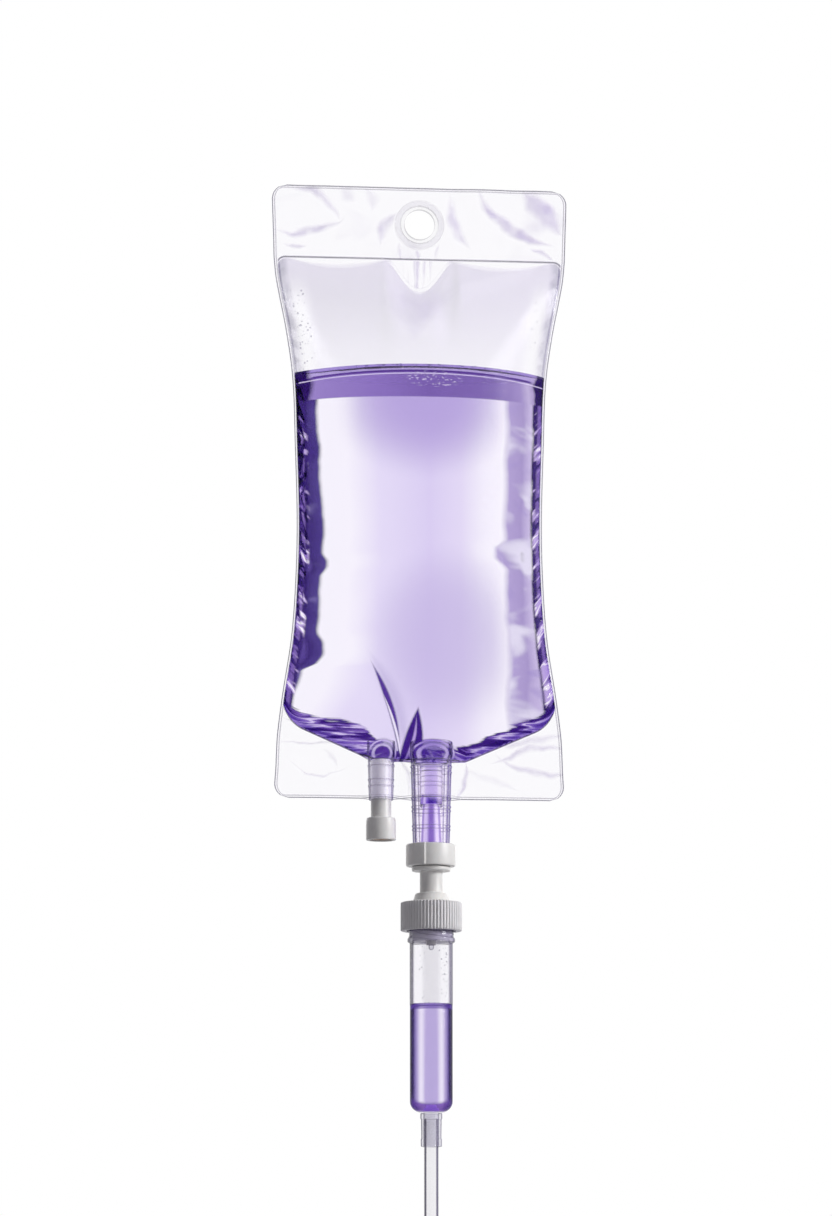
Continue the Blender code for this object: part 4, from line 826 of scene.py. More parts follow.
def makeFilm(name, node, side, material):
    columns, rows = bag["filmColumns"], bag["filmRows"]
    clearSelection()
    bpy.ops.mesh.primitive_grid_add(x_subdivisions=columns, y_subdivisions=rows, size=2.0)
    film = bpy.context.object
    mesh = film.data
    marks = {label: [] for label in ("edge", "seam", "across", "fold")}
    for vertex in mesh.vertices:
        u, v = vertex.co.x, vertex.co.y
        u = 0.72 * u + 0.28 * math.sin(math.pi / 2 * u)
        z = bagBottom + bag["length"] * (v + 1) / 2
        half = filmHalfWidth(z)
        x = half * u
        base = filmHalf(x, z)
        height = max(base + swellWrinkle(x, z, side), 0.0)
        tunnel = tunnelHalf(x, z) if z < ports["top"] + ports["outletRadii"][0] else 0.0
        y = side * (bag["weldGap"] / 2 + max(height, tunnel)) + flapWave(x, z)
        fromEnd = min(bag["top"] - z, z - bagBottom)
        topSeam = pocketTop - z
        lowSeam = z - riseAt(x, z) - pocketBottom
        sideSeam = half - abs(x) - bag["weldSide"]
        vertex.co = (x, y, z)
        marks["edge"].append(1000 * min(half - abs(x), fromEnd))
        corner = bag["topCorner"]
        if topSeam < corner and sideSeam < corner:
            topSeam = corner - math.hypot(corner - topSeam, corner - sideSeam)
        marks["seam"].append(1000 * min(topSeam, lowSeam, sideSeam))
        marks["across"].append(x / max(half - bag["weldSide"], mm))
        ridge, strength = ridgeAt(x / half, z, side)
        marks["fold"].append(ridge * strength)
    writeMarks(mesh, marks)
    bpy.ops.object.mode_set(mode="EDIT")
    bpy.ops.mesh.select_all(action="SELECT")
    bpy.ops.mesh.normals_make_consistent(inside=False)
    bpy.ops.object.mode_set(mode="OBJECT")
    if sum(face.normal.y for face in mesh.polygons) * side < 0:
        bpy.ops.object.mode_set(mode="EDIT")
        bpy.ops.mesh.flip_normals()
        bpy.ops.object.mode_set(mode="OBJECT")
    wall = film.modifiers.new("filmWall", "SOLIDIFY")
    wall.thickness = bag["wall"]
    wall.offset = 1.0
    wall.use_even_offset = True
    bpy.ops.object.modifier_apply(modifier="filmWall")
    clearSelection()
    bpy.ops.mesh.primitive_cylinder_add(vertices=96, radius=bag["eyeletHole"], depth=bag["top"],
                                        rotation=(math.pi / 2, 0.0, 0.0))
    punch = bpy.context.object
    hole = film.modifiers.new("eyeletHole", "BOOLEAN")
    hole.operation = "DIFFERENCE"
    hole.solver = "EXACT"
    hole.object = punch
    bpy.context.view_layer.objects.active = film
    film.select_set(True)
    bpy.ops.object.modifier_apply(modifier="eyeletHole")
    bpy.data.objects.remove(punch, do_unlink=True)
    return finishPiece(film, name, "bag", material, (node,), smooth=60.0)


filmLooks = {
    # painted reflections in the flaps, as soft streaks in millimetres: start, end, half width, softness, bow,
    # strength
    "flapReflections": (
        ((-47.9, 13.4), (-32.7, 5.0), 1.3, 1.5, 2.5, 0.75),
        ((-55.0, -4.0), (-33.0, 1.0), 1.1, 1.2, -2.0, 0.80),
        ((-53.5, -8.4), (-46.0, -9.8), 0.8, 0.8, 0.0, 0.60),
        ((-30.8, 14.0), (-26.5, 9.6), 1.8, 2.0, 0.0, 0.40),
        ((-21.0, 14.0), (-19.0, 6.5), 1.4, 1.8, 0.8, 0.40),
        ((-10.5, 4.5), (-15.5, -7.0), 1.7, 1.5, -1.2, 0.75),
        ((12.2, 10.0), (19.0, -7.5), 1.7, 1.9, -1.5, 0.60),
        ((25.0, 11.5), (50.0, -7.0), 2.0, 1.6, -3.2, 0.95),
        ((42.5, 13.5), (56.0, -2.0), 3.0, 2.0, 1.0, 0.95),
        ((45.0, -9.2), (52.8, -12.8), 0.8, 0.8, 0.0, 0.75),
        ((-7.6, -8.0), (-7.0, -13.4), 0.6, 0.8, 0.0, 0.45),
        ((7.4, -8.5), (6.2, -13.4), 0.6, 0.8, 0.0, 0.45),
        ((-0.3, -10.0), (-0.4, -13.8), 0.5, 0.5, 0.0, 0.60),
        ((-53.5, -207.2), (-24.0, -211.2), 0.35, 0.5, 0.6, 0.60),
        ((-52.5, -199.0), (-47.5, -199.8), 0.5, 0.6, 0.0, 0.55),
        ((-49.0, -216.8), (-30.5, -218.6), 0.30, 0.5, -2.6, 0.45),
        ((-38.0, -212.0), (-33.0, -217.0), 0.5, 0.8, 0.5, 0.35),
        ((32.0, -208.0), (56.5, -203.4), 0.9, 1.1, -1.4, 0.55),
        ((31.0, -214.0), (56.0, -208.4), 1.1, 1.1, 1.2, 0.65),
        ((33.0, -213.4), (56.0, -219.6), 1.0, 1.1, -2.6, 0.65),
        ((17.6, -216.4), (15.0, -228.4), 0.8, 0.8, 1.4, 0.80),
        ((21.0, -220.0), (36.0, -225.0), 0.8, 1.4, 0.0, 0.35),
        ((-7.2, -214.8), (-3.6, -228.0), 0.5, 0.6, 0.8, 0.60),
    ),
    "dipWidth": 12.4,       # half width and depth of the sagging film under the eyelet
    "dipDepth": 11.8,
    "wedge": 3.4,           # how far the film sags from the straight weld on either side
}


def filmFinish(name):
    finish = Finish(name, IOR=1.5, Roughness=0.11)
    edge, seam = finish.mark("edge"), finish.mark("seam")
    across, fold = finish.mark("across"), finish.mark("fold")
    height = finish.place("Z") * 1000
    sideways = finish.place("X") * 1000
    reach = abs(sideways)
    flap = seam.ease(0.1, -0.3)
    cloud = finish.grain(34.0, 2.0, 0.45, (1.0, 0.3, 1.6), 0.8)
    waver = (finish.grain(75.0, 2.0, 0.5) - 0.5) * 7.0
    # painted reflections in the flaps: soft streaks and clouding
    flapReflections = finish.strokes(filmLooks["flapReflections"], waver) * (0.55 + finish.grain(120.0).ease(0.35, 0.65) * 0.5)
    flapReflections = (flapReflections + cloud.ease(0.55, 0.85) * 0.30) * flap
    outer = edge.band(0.2, 0.10, 0.16)
    inner = edge.band(1.05, 0.08, 0.22) * 0.8
    weld = abs(seam - 0.05).ease(0.45, 0.12) * edge.ease(1.3, 1.9)
    # air space: white between the straight weld and the sagging film, lilac grey below it
    below = 1000 * pocketTop - height
    bell = (1.0 - (reach / filmLooks["dipWidth"]).power(2.0)).held().power(1.5) * filmLooks["dipDepth"]
    flank = ((reach - filmLooks["dipWidth"]) / 41.0).held()
    hang = flank * (1.0 - flank) * 4.0 * filmLooks["wedge"] + bell
    sag = below - hang
    aboveLevel = height - 1000 * bag["level"]
    inAir = seam.ease(0.3, 1.0) * aboveLevel.ease(-0.6, 0.6)
    under = sag.ease(-0.5, 0.6)
    fade = below.ease(50.0, 6.0) * 0.62 + 0.34
    # painted shade in a V under the dip
    dipShade = (reach / 31.0 + below / 30.5).ease(1.03, 0.72) * below.ease(8.0, 24.0) * 0.75
    # painted highlight: a white stripe inside each side seam
    glare = abs(abs(across) - 0.87).ease(0.11, 0.01) * below.ease(5.0, 22.0)
    air = inAir * under * (fade + dipShade) * (1.0 - glare * 0.9)
    # painted shade along the crinkled side seams of the air space, darker on the fold ridges, with a thin dark
    # line by the seam
    rim = inAir * abs(across).ease(0.90, 0.96) * (0.45 + fold.ease(-0.3, 0.5) * 0.55)
    rim = rim + inAir * abs(across).band(0.982, 0.003, 0.008) * 1.6
    # painted highlight on the crest of the sagging film
    crestLight = sag.band(0.9, 0.5, 0.8) * (reach / 12.0).ease(1.15, 0.8) * inAir
    pleats = finish.grain(420.0, 2.0, 0.5, (1.0, 0.1, 0.12)).ease(0.45, 0.7)
    folded = inAir * (1.0 - under) * (reach / 9.0).ease(1.0, 0.0) * pleats
    wet = aboveLevel.ease(0.5, -1.0)
    side = finish.facing(0.35)
    cover = flapReflections * 0.18 + air * 0.092 * (1.0 - crestLight * 0.95) + rim * 0.10 + folded * 0.12
    cover = cover + outer * 0.34 + inner * 0.20 + weld * 0.32
    cover = cover + side.ease(0.55, 1.0) * 0.22 + 0.010
    cover = cover * (1.0 - wet * seam.ease(0.4, 1.0) * 0.8)
    dark = (outer + inner + weld).held()
    tone = finish.mix(dark, srgb(210, 188, 248), srgb(96, 90, 120))
    tone = finish.mix(rim, tone, srgb(146, 136, 184))
    # painted sheen: whiter where the film is seen edge on
    tone = finish.mix(side.ease(0.5, 1.0) * 0.6, tone, (0.92, 0.92, 0.97))
    rumple = finish.grain(210.0, 3.0, 0.55, (1.0, 1.0, 0.8), 0.6)
    finish.set(finish.shader, {
        "Base Color": tone,
        "Roughness": 0.08 + rumple * 0.10,
        "Normal": finish.bump(rumple, 0.10, 0.0010),
    })
    return finish.seeThrough(cover.held(), (0.996, 0.995, 0.999))


film = filmFinish("bagFilm")
frontFilm = makeFilm("frontFilm", "front_film", -1, film)
makeFilm("backFilm", "back_film", 1, film)
print("films", len(frontFilm.data.polygons), "faces each")


# the violet fluid

fluid = {
    "columns": 160,
    "rows": 200,
    "clear": 0.12 * mm,      # between the fluid and the film
    "meniscus": 0.7 * mm,
    "roundOff": 2.5 * mm,    # height over which the fluid closes above the lower weld
    "back": (250, 247, 253),
    # painted light and shade across the front, from the left seam to the right one: dark shaded bands by the
    # seams, painted white highlights inside them and a lilac middle; place from -1 to 1, then the colour
    "bands": (
        (-1.00, (104, 84, 166)), (-0.93, (66, 50, 116)), (-0.838, (86, 71, 142)), (-0.808, (248, 245, 254)),
        (-0.62, (248, 244, 254)), (-0.38, (230, 221, 248)), (0.02, (219, 207, 243)), (0.28, (228, 218, 246)),
        (0.46, (243, 238, 252)), (0.64, (248, 244, 254)), (0.70, (178, 162, 211)), (0.82, (169, 152, 203)),
        (0.895, (200, 186, 226)), (0.912, (46, 26, 92)), (1.00, (60, 40, 110)),
    ),
    # painted reflection of the level's underside: colours of the band under the level, over the same places
    "levelBand": (
        (-1.00, (40, 22, 84)), (-0.90, (50, 28, 100)), (-0.86, (152, 130, 198)), (-0.45, (140, 115, 190)),
        (0.00, (122, 97, 172)), (0.55, (128, 105, 176)), (0.79, (162, 144, 200)), (0.86, (192, 178, 218)),
        (0.90, (176, 160, 206)), (0.918, (46, 24, 96)), (1.00, (40, 22, 84)),
    ),
    # painted shade and highlights of the crinkled wedge along the lower welds, from its dark streaks to its
    # bright ones
    "wedgeTones": (
        (0.0, (38, 16, 92)), (0.46, (62, 34, 124)), (0.52, (122, 92, 182)), (0.56, (214, 198, 242)),
        (0.60, (140, 112, 198)), (0.70, (110, 80, 174)),
    ),
    # painted shade and highlights of the folds above the ports, in millimetres: start, end, half width,
    # softness, bow, then strength and colour
    "portFolds": (
        ((-19.5, -178.0), (-5.5, -212.0), 2.6, 2.4, 1.6, 0.40, (150, 128, 200)),
        ((-20.6, -179.0), (-8.0, -214.0), 1.25, 0.45, 1.6, 1.0, (88, 60, 150)),
        ((-15.2, -192.0), (-7.2, -214.5), 0.38, 0.25, 0.55, 1.0, (238, 230, 252)),
        ((-2.2, -195.5), (-6.6, -231.0), 4.2, 0.6, 0.6, 1.0, (66, 38, 130)),
        ((-2.6, -200.5), (-7.2, -217.0), 0.50, 0.4, 1.4, 0.8, (190, 165, 232)),
    ),
    # painted ringed light and shade over the top of each port: its middle and half width
    "portRings": ((-15.2, 5.6), (4.6, 8.8)),
}


def fluidHalf(x, z, side):
    step = 0.5 * mm
    here = filmHalf(x, z)
    acrossSlope = (filmHalf(x + step, z) - filmHalf(x - step, z)) / (2 * step)
    downSlope = (filmHalf(x, z + step) - filmHalf(x, z - step)) / (2 * step)
    clear = fluid["clear"] * math.sqrt(1 + acrossSlope ** 2 + downSlope ** 2)
    return max(here + swellWrinkle(x, z, side) + bag["weldGap"] / 2 - clear, 0.02 * mm)


def fluidReach(z):
    return filmHalfWidth(z) - bag["weldSide"] - 0.1 * mm


def fluidEnd(across):
    # height of the lower weld at a share of the half width
    z = pocketBottom
    for _ in range(20):
        z += 0.5 * (pocketBottom + riseAt(across * fluidReach(z), z) + 0.2 * mm - z)
    return z


def makeBagFluid(material, surfaceMaterial):
    clearSelection()
    bpy.ops.mesh.primitive_grid_add(x_subdivisions=fluid["columns"], y_subdivisions=fluid["rows"], size=2.0)
    front = bpy.context.object
    back = front.copy()
    back.data = front.data.copy()
    bpy.context.scene.collection.objects.link(back)
    ends = {}
    for side, sheet in ((-1, front), (1, back)):
        mesh = sheet.data
        marks = {label: [] for label in ("across", "low", "front")}
        for vertex in mesh.vertices:
            u, v = vertex.co.x, vertex.co.y
            across = 0.55 * u + 0.45 * math.sin(math.pi / 2 * u)
            column = round(u * 1e5)
            if column not in ends:
                ends[column] = fluidEnd(across)
            end = ends[column]
            z = end + (bag["level"] - end) * (v + 1) / 2
            x = fluidReach(z) * across
            atRim = abs(u) > 1 - 1e-6 or v < -1 + 1e-6
            close = max(1 - (z - end) / fluid["roundOff"], 0.0)
            y = 0.0 if atRim else side * fluidHalf(x, z, side) * math.sqrt(max(1 - close * close, 0.0))
            lift = fluid["meniscus"] if v > 1 - 1e-6 else 0.0
            vertex.co = (x, y, z + lift)
            marks["across"].append(across)
            marks["low"].append(1000 * (z - end))
            marks["front"].append(1.0 if side < 0 else 0.0)
        writeMarks(mesh, marks)
    body = joinPieces([front, back])
    bpy.ops.object.mode_set(mode="EDIT")
    bpy.ops.mesh.select_mode(type="EDGE")
    bpy.ops.mesh.select_all(action="SELECT")
    bpy.ops.mesh.remove_doubles(threshold=0.00001)
    bpy.ops.mesh.select_all(action="DESELECT")
    bpy.ops.mesh.select_non_manifold()
    # the level surface lies a little under the rim that creeps up the film
    bpy.ops.mesh.extrude_edges_move()
    bpy.ops.transform.resize(value=(0.985, 0.93, 1.0))
    bpy.ops.transform.translate(value=(0.0, 0.0, -fluid["meniscus"]))
    bpy.ops.mesh.edge_face_add()
    bpy.ops.mesh.quads_convert_to_tris()
    bpy.ops.mesh.select_all(action="SELECT")
    bpy.ops.mesh.normals_make_consistent(inside=False)
    bpy.ops.object.mode_set(mode="OBJECT")
    finishPiece(body, "bagFluid", "bag", material, ("bag_fluid",), smooth=50.0)
    body.data.materials.append(surfaceMaterial)
    for face in body.data.polygons:
        if face.normal.z > 0.5 and face.center.z > bag["level"] - 1.2 * mm:
            face.material_index = 1
    return body


def throughGlass(red, green, blue):
    # colour for the front of the fluid, so that front and back together give the colour that is seen:
    # a transmitting surface tints by the square root of its base colour
    seen, back = srgb(red, green, blue), srgb(*fluid["back"])
    return tuple(min(value * value / behind, 1.0) for value, behind in zip(seen, back))


def fluidFinish(name):
    finish = Finish(name, IOR=1.12, Roughness=0.0)
    across, low, front = (finish.mark(label) for label in ("across", "low", "front"))
    height = finish.place("Z") * 1000
    sideways = finish.place("X") * 1000
    reach = abs(across)
    wave = finish.grain(45.0, 3.0, 0.55, (0.1, 0.1, 1.0)) - 0.5
    # the edge of each band wanders a little down the bag, with a few bulges
    lean = wave * 0.07 + height.band(-139.0, 0.6, 4.4) * 0.045 + height.band(-172.5, 1.5, 6.0) * 0.055
    lean = lean + height.ease(-88.0, -128.0) * 0.024 - 0.022
    lean = lean - height.ease(-177.5, -180.5) * 0.085 - height.ease(-181.0, -200.0) * 0.11
    rightLean = wave * 0.10 + height.band(-134.8, 1.2, 5.2) * 0.11 + height.ease(-165.0, -195.0) * 0.03
    u = across - across.ease(-0.2, -0.6) * lean + across.ease(0.3, 0.6) * across.ease(0.90, 0.80) * rightLean
    stops = [((place + 1) / 2, throughGlass(*color)) for place, color in fluid["bands"]]
    tone = finish.ramp((u * 0.5 + 0.5).held(), stops, "LINEAR")
    middle = reach.ease(0.80, 0.50)
    # soft lilac shade: below the surface, and low over the ports
    upper = (sideways / 36.0).power(2.0) + ((height + 74.0) / 30.0).power(2.0)
    lower = ((sideways - 9.0) / 35.0).power(2.0) + ((height + 169.0) / 37.0).power(2.0)
    tone = finish.mix((upper.ease(1.35, 0.0) * 0.95 * middle).held(), tone, throughGlass(181, 162, 220))
    tone = finish.mix((lower.ease(1.1, 0.0) * 0.75 * middle).held(), tone, throughGlass(195, 181, 226))
    # clouding of the painted light and shade inside the two bands at the sides
    cloud = finish.grain(70.0, 2.0, 0.5, (0.4, 0.4, 1.0), 0.6)
    leftBand, rightBand = u.ease(-0.808, -0.838), u.ease(0.66, 0.70) * u.ease(0.93, 0.90)
    tone = finish.mix(leftBand * cloud.ease(0.42, 0.72) * 0.8, tone, throughGlass(66, 46, 124))
    tone = finish.mix(leftBand * cloud.ease(0.40, 0.26) * 0.6, tone, throughGlass(132, 118, 184))
    tone = finish.mix(rightBand * cloud.ease(0.48, 0.66) * 0.75, tone, throughGlass(236, 231, 249))
    tone = finish.mix(rightBand * cloud.ease(0.42, 0.30) * 0.55, tone, throughGlass(160, 142, 204))
    # crinkled seam: painted navy shade in the valleys, violet flats and painted bright glints
    rim = reach.ease(0.915, 0.945)
    slant = height * 0.17 + (1.0 - reach) * 9.0
    slide = finish.add("ShaderNodeCombineXYZ", {}, [slant, across * 3.0, height * 0.02])
    facet = finish.grain(1.0, 2.5, 0.6, spot=slide)
    seamTone = finish.mix(reach.ease(0.945, 0.97), throughGlass(58, 38, 110), throughGlass(128, 104, 176))
    tone = finish.mix(rim, tone, seamTone)
    tone = finish.mix(rim * facet.ease(0.51, 0.57) * 0.85, tone, throughGlass(200, 178, 236))
    tone = finish.mix(rim * facet.ease(0.44, 0.39), tone, throughGlass(60, 42, 114))
    tone = finish.mix(rim * facet.band(0.60, 0.014, 0.016) * 0.95, tone, throughGlass(250, 244, 255))
    # painted shade over the crinkled wedge along the lower welds, with painted highlights on its bright
    # streaks
    slant = abs(sideways) * 0.16 + low * 0.42
    shear = finish.add("ShaderNodeCombineXYZ", {}, [slant, low * 0.05, across * 2.0])
    streak = finish.grain(1.0, 2.5, 0.6, spot=shear)
    wide = abs(sideways + 4.0).ease(10.0, 22.0) * abs(across).ease(1.0, 0.86) * 2.2 + 2.4
    wide = wide + sideways.band(-25.0, 3.0, 15.0) * 3.8
    wedge = (wide + (streak - 0.5) * 7.0 + 1.0 - low).ease(-0.5, 0.6)
    shine = streak - (low / (wide + 1.0) - 0.45) * 0.16
    wedgeStops = [(place, throughGlass(*color)) for place, color in fluid["wedgeTones"]]
    tone = finish.mix(wedge, tone, finish.ramp(shine, wedgeStops, "LINEAR"))
    # slit and leaf folds above the ports, each with its painted shade and a painted highlight on its lip
    for *shape, strength, color in fluid["portFolds"]:
        tone = finish.mix(finish.stroke(*shape) * strength, tone, throughGlass(*color))
    # painted ringed light and shade over each port's top
    for spot, turn in fluid["portRings"]:
        ring = ((sideways - spot) / turn).power(2.0) + ((height + 212.5) / 5.0).power(2.0)
        tone = finish.mix(ring.ease(1.5, 0.9) * 0.75, tone, throughGlass(92, 60, 156))
        tone = finish.mix(ring.band(0.92, 0.05, 0.12) * 0.7, tone, throughGlass(206, 188, 240))
        tone = finish.mix(ring.band(0.42, 0.05, 0.12) * 0.6, tone, throughGlass(216, 202, 244))
    # painted reflection of the level's underside in a band below it, with a painted dark line where it meets
    # the film, a pale line just under that and lighter lilac above it
    depth = 1000 * bag["level"] - height
    bandEnd = 12.6 - (sideways / 50.0).power(2.0) * 1.6 + wave * 0.6
    band = (bandEnd - depth).ease(-0.25, 0.25)
    bandStops = [((place + 1) / 2, throughGlass(*color)) for place, color in fluid["levelBand"]]
    undersideReflection = finish.ramp((across * 0.5 + 0.5 + (cloud - 0.5) * 0.05).held(), bandStops, "LINEAR")
    tone = finish.mix(band, tone, undersideReflection)
    line = 2.1 + (sideways / 50.0).power(2.0) * 0.8
    inner = reach.ease(0.92, 0.86)
    tone = finish.mix((line - depth).ease(-0.1, 0.3) * inner, tone, throughGlass(182, 164, 220))
    tone = finish.mix(depth.band(line, 0.28, 0.35) * inner, tone, throughGlass(92, 62, 148))
    tone = finish.mix(depth.band(line + 1.0, 0.10, 0.20) * 0.7, tone, throughGlass(222, 210, 244))
    # painted glints: small lights on the line, and a few more in the band under the middle
    spark = finish.grain(900.0, 1.0, 0.5, (1.0, 0.1, 1.6)).ease(0.60, 0.66)
    onLine = depth.band(0.7, 0.25, 0.35) * reach.ease(0.62, 0.50)
    tone = finish.mix(spark * onLine, tone, throughGlass(240, 232, 252))
    glintPatch = ((sideways - 3.0) / 12.0).power(2.0) + ((depth - 5.2) / 3.6).power(2.0)
    tone = finish.mix(spark * glintPatch.ease(1.0, 0.6) * 0.5, tone, throughGlass(226, 214, 246))
    # the back carries only the painted shade of its own crinkled seams and of its lower weld, so that it
    # doesn't show twice
    behind = finish.mix(reach.ease(0.93, 0.98), srgb(*fluid["back"]), srgb(212, 198, 238))
    behind = finish.mix(low.ease(5.0, 1.5), behind, srgb(128, 104, 188))
    finish.set(finish.shader, {
        "Base Color": finish.mix(front.ease(0.4, 0.6), behind, tone),
        "Transmission Weight": 1.0,
        "Specular Tint": (0.05, 0.05, 0.06),
    })
    return finish.material


def surfaceFinish(name):
    finish = Finish(name, IOR=1.05, Roughness=0.0, Transmission_Weight=1.0, Specular_Tint=(0.1, 0.1, 0.1))
    cloud = finish.grain(70.0, 2.0, 0.5, (0.5, 1.0, 1.0))
    finish.set(finish.shader, {
        "Base Color": finish.mix(cloud.ease(0.35, 0.7), srgb(196, 182, 228), srgb(214, 204, 238)),
        "Normal": finish.bump(cloud, 0.05, 0.001),
    })
    return finish.material


bagFluid = makeBagFluid(fluidFinish("violetFluid"), surfaceFinish("fluidLevel"))
print("fluid", len(bagFluid.data.polygons), "faces")


# beads of air: along the left seam and on the level

airBeads = {
    "seed": 41,
    "left": (46, 28 * mm, 33 * mm),     # how many, below the eyelet by, and over what height
    "right": (8, 30 * mm, 25 * mm),
    "level": (64, -28 * mm, 62 * mm),   # how many, from what x, and over what width
    "behindFilm": 0.35 * mm,
    "smallest": 0.16 * mm,
    "spread": 0.26 * mm,
}


def makeBeads():
    dice = random.Random(airBeads["seed"])
    behind, smallest, spread = (airBeads[name] for name in ("behindFilm", "smallest", "spread"))
    spots = []
    count, top, reach = airBeads["left"]
    for _ in range(count):
        z = -top - dice.random() ** 1.4 * reach
        half = filmHalfWidth(z) - bag["weldSide"]
        x = -half * (0.93 - 0.10 * dice.random() ** 2)
        y = -(filmHalf(x, z) + swellWrinkle(x, z, -1)) + behind
        spots.append((Vector((x, y, z)), smallest + spread * dice.random() ** 2))
    count, top, reach = airBeads["right"]
    for _ in range(count):
        z = -top - dice.random() * reach
        x = (filmHalfWidth(z) - bag["weldSide"]) * (0.88 - 0.05 * dice.random())
        spots.append((Vector((x, -filmHalf(x, z) + 0.4 * mm, z)), (0.12 + 0.15 * dice.random()) * mm))
    count, first, width = airBeads["level"]
    for _ in range(count):
        z = bag["level"] + (0.3 + 0.5 * dice.random()) * mm
        x = dice.random() * width + first
        y = -(filmHalf(x, z) + swellWrinkle(x, z, -1)) + (0.45 + dice.random() ** 3 * 5.0) * mm
        spots.append((Vector((x, y, z)), smallest + spread * dice.random()))
    beads = scatterBeads(spots)
    return finishPiece(beads, "airBeads", "bag", dropFinish("airBead"), smooth=80.0)


makeBeads()


# eyelet grommet

grommet = {
    "hole": 6.05 * mm,
    "barrel": 7.45 * mm,
    "groove": 0.85 * mm,    # half the gap between its flanges, where the films lie
    "chamfer": 0.28 * mm,
    "stepIn": 0.9 * mm,
    "stepDown": 0.16 * mm,
}


def makeGrommet():
    low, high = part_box("eyelet_ring")
    outer = (high.x - low.x) / 2
    face = (high.y - low.y) / 2
    hole, barrel, groove = grommet["hole"], grommet["barrel"], grommet["groove"]
    step, drop = grommet["stepIn"], grommet["stepDown"]
    outline = [
        (hole, face - drop), (hole + step, face), (outer - step, face), (outer, face - drop), (outer, groove),
        (barrel, groove), (barrel, -groove), (outer, -groove), (outer, -face + drop), (outer - step, -face),
        (hole + step, -face), (hole, -face + drop),
    ]
    ring = spinOutline(outline, 0.0, 120, grommet["chamfer"])
    ring.data.transform(Matrix.Rotation(math.pi / 2, 4, "X"))
    vinyl = clearMoulding("grommetVinyl", (112, 106, 132), (236, 232, 243), (0.993, 0.992, 0.996), 0.42, 0.05)
    return finishPiece(ring, "eyeletGrommet", "bag", vinyl, ("eyelet_ring",))


makeGrommet()

# additive port

additive = {
    "sleeveBeads": (-217.0, -222.5, -225.0),   # heights of the faint weld lines, millimetres
    "beadHeight": 0.30 * mm,
    "sleeveWall": 0.5 * mm,
    "stemRadius": 4.0 * mm,
    "stemBore": 3.0 * mm,
    "stemTop": 2.2 * mm,    # how far the stem reaches above the solid's
    "cupDrop": 7.5 * mm,    # from the film's lower edge to the cup
    "cupWall": 1.2 * mm,
    "cupFloor": 1.6 * mm,
    # painted light that the stem gives off inside the sleeve, face on to edge on
    "stemPaintedLight": ((0.0, (122, 118, 134)), (1.0, (146, 142, 156))),
}


def beadedTube(radii, top, end, wall, beads, beadHeight):
    # a tube whose outside carries low rounded rings
    first, last = radii
    outline = [(first, top, 0.25 * mm)]
    for bead in beads:
        z = bead * mm
        radius = first + (last - first) * (top - z) / (top - end)
        outline += [(radius, z + 0.5 * mm), (radius + beadHeight, z, 0.2 * mm), (radius, z - 0.5 * mm)]
    return outline + [(last, end, 0.2 * mm), (last - wall, end), (first - wall, top)]


def makeAdditivePort(septumRubber, clear):
    x = ports["additiveX"]
    low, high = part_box("additive_port_tube")
    sleeve = spinOutline(beadedTube(ports["additiveRadii"], high.z, low.z, additive["sleeveWall"],
                                    additive["sleeveBeads"], additive["beadHeight"]), x)
    finishPiece(sleeve, "additiveSleeve", "bag", clear, ("additive_port_tube",))

    low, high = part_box("injection_port_body")
    cup = (high.x - low.x) / 2
    cupTop = bagBottom - additive["cupDrop"]
    stem, bore = additive["stemRadius"], additive["stemBore"]
    recess, floor = cup - additive["cupWall"], cupTop - additive["cupFloor"]
    stemTop = high.z + additive["stemTop"]
    body = spinOutline([
        (stem - 0.35 * mm, stemTop, 0.3 * mm), (stem, stemTop - 1.2 * mm, 0.5 * mm), (stem, cupTop, 0.3 * mm),
        (cup - 0.25 * mm, cupTop, 0.5 * mm), (cup, cupTop - 2.2 * mm, 1.2 * mm), (cup, low.z, 0.35 * mm),
        (recess, low.z, 0.25 * mm), (recess, floor), (bore, floor), (bore, stemTop),
    ], x)
    # above the film's lower edge the stem gives off painted light
    sleeved = whiteMoulding("injectionMoulding", paintedLight=additive["stemPaintedLight"], paintedLightFrom=1000 * bagBottom)
    finishPiece(body, "injectionBody", "bag", sleeved, ("injection_port_body",))

    low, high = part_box("injection_septum")
    radius = (high.x - low.x) / 2
    rim, target = low.z + 0.35 * mm, low.z + 0.3 * mm
    dome = spinOutline([
        (0.0, high.z), (radius, high.z), (radius, rim, 0.3 * mm), (radius * 0.78, rim, 0.3 * mm),
        (radius * 0.6, low.z, 0.5 * mm), (radius * 0.25, low.z, 0.4 * mm), (radius * 0.15, target, 0.2 * mm),
        (0.0, target),
    ], x, 64)
    finishPiece(dome, "injectionSeptum", "bag", septumRubber, ("injection_septum",))


whiteParts = whiteMoulding("portMoulding")
clearParts = clearMoulding("portVinyl", (108, 90, 154), (238, 234, 246), (0.99, 0.988, 0.997), 0.84, 0.012,
                           rings=additive["sleeveBeads"])
makeAdditivePort(rubber("septumRubber", (0.50, 0.36, 0.27)), clearParts)

# outlet port, with the fluid and the membrane tube inside

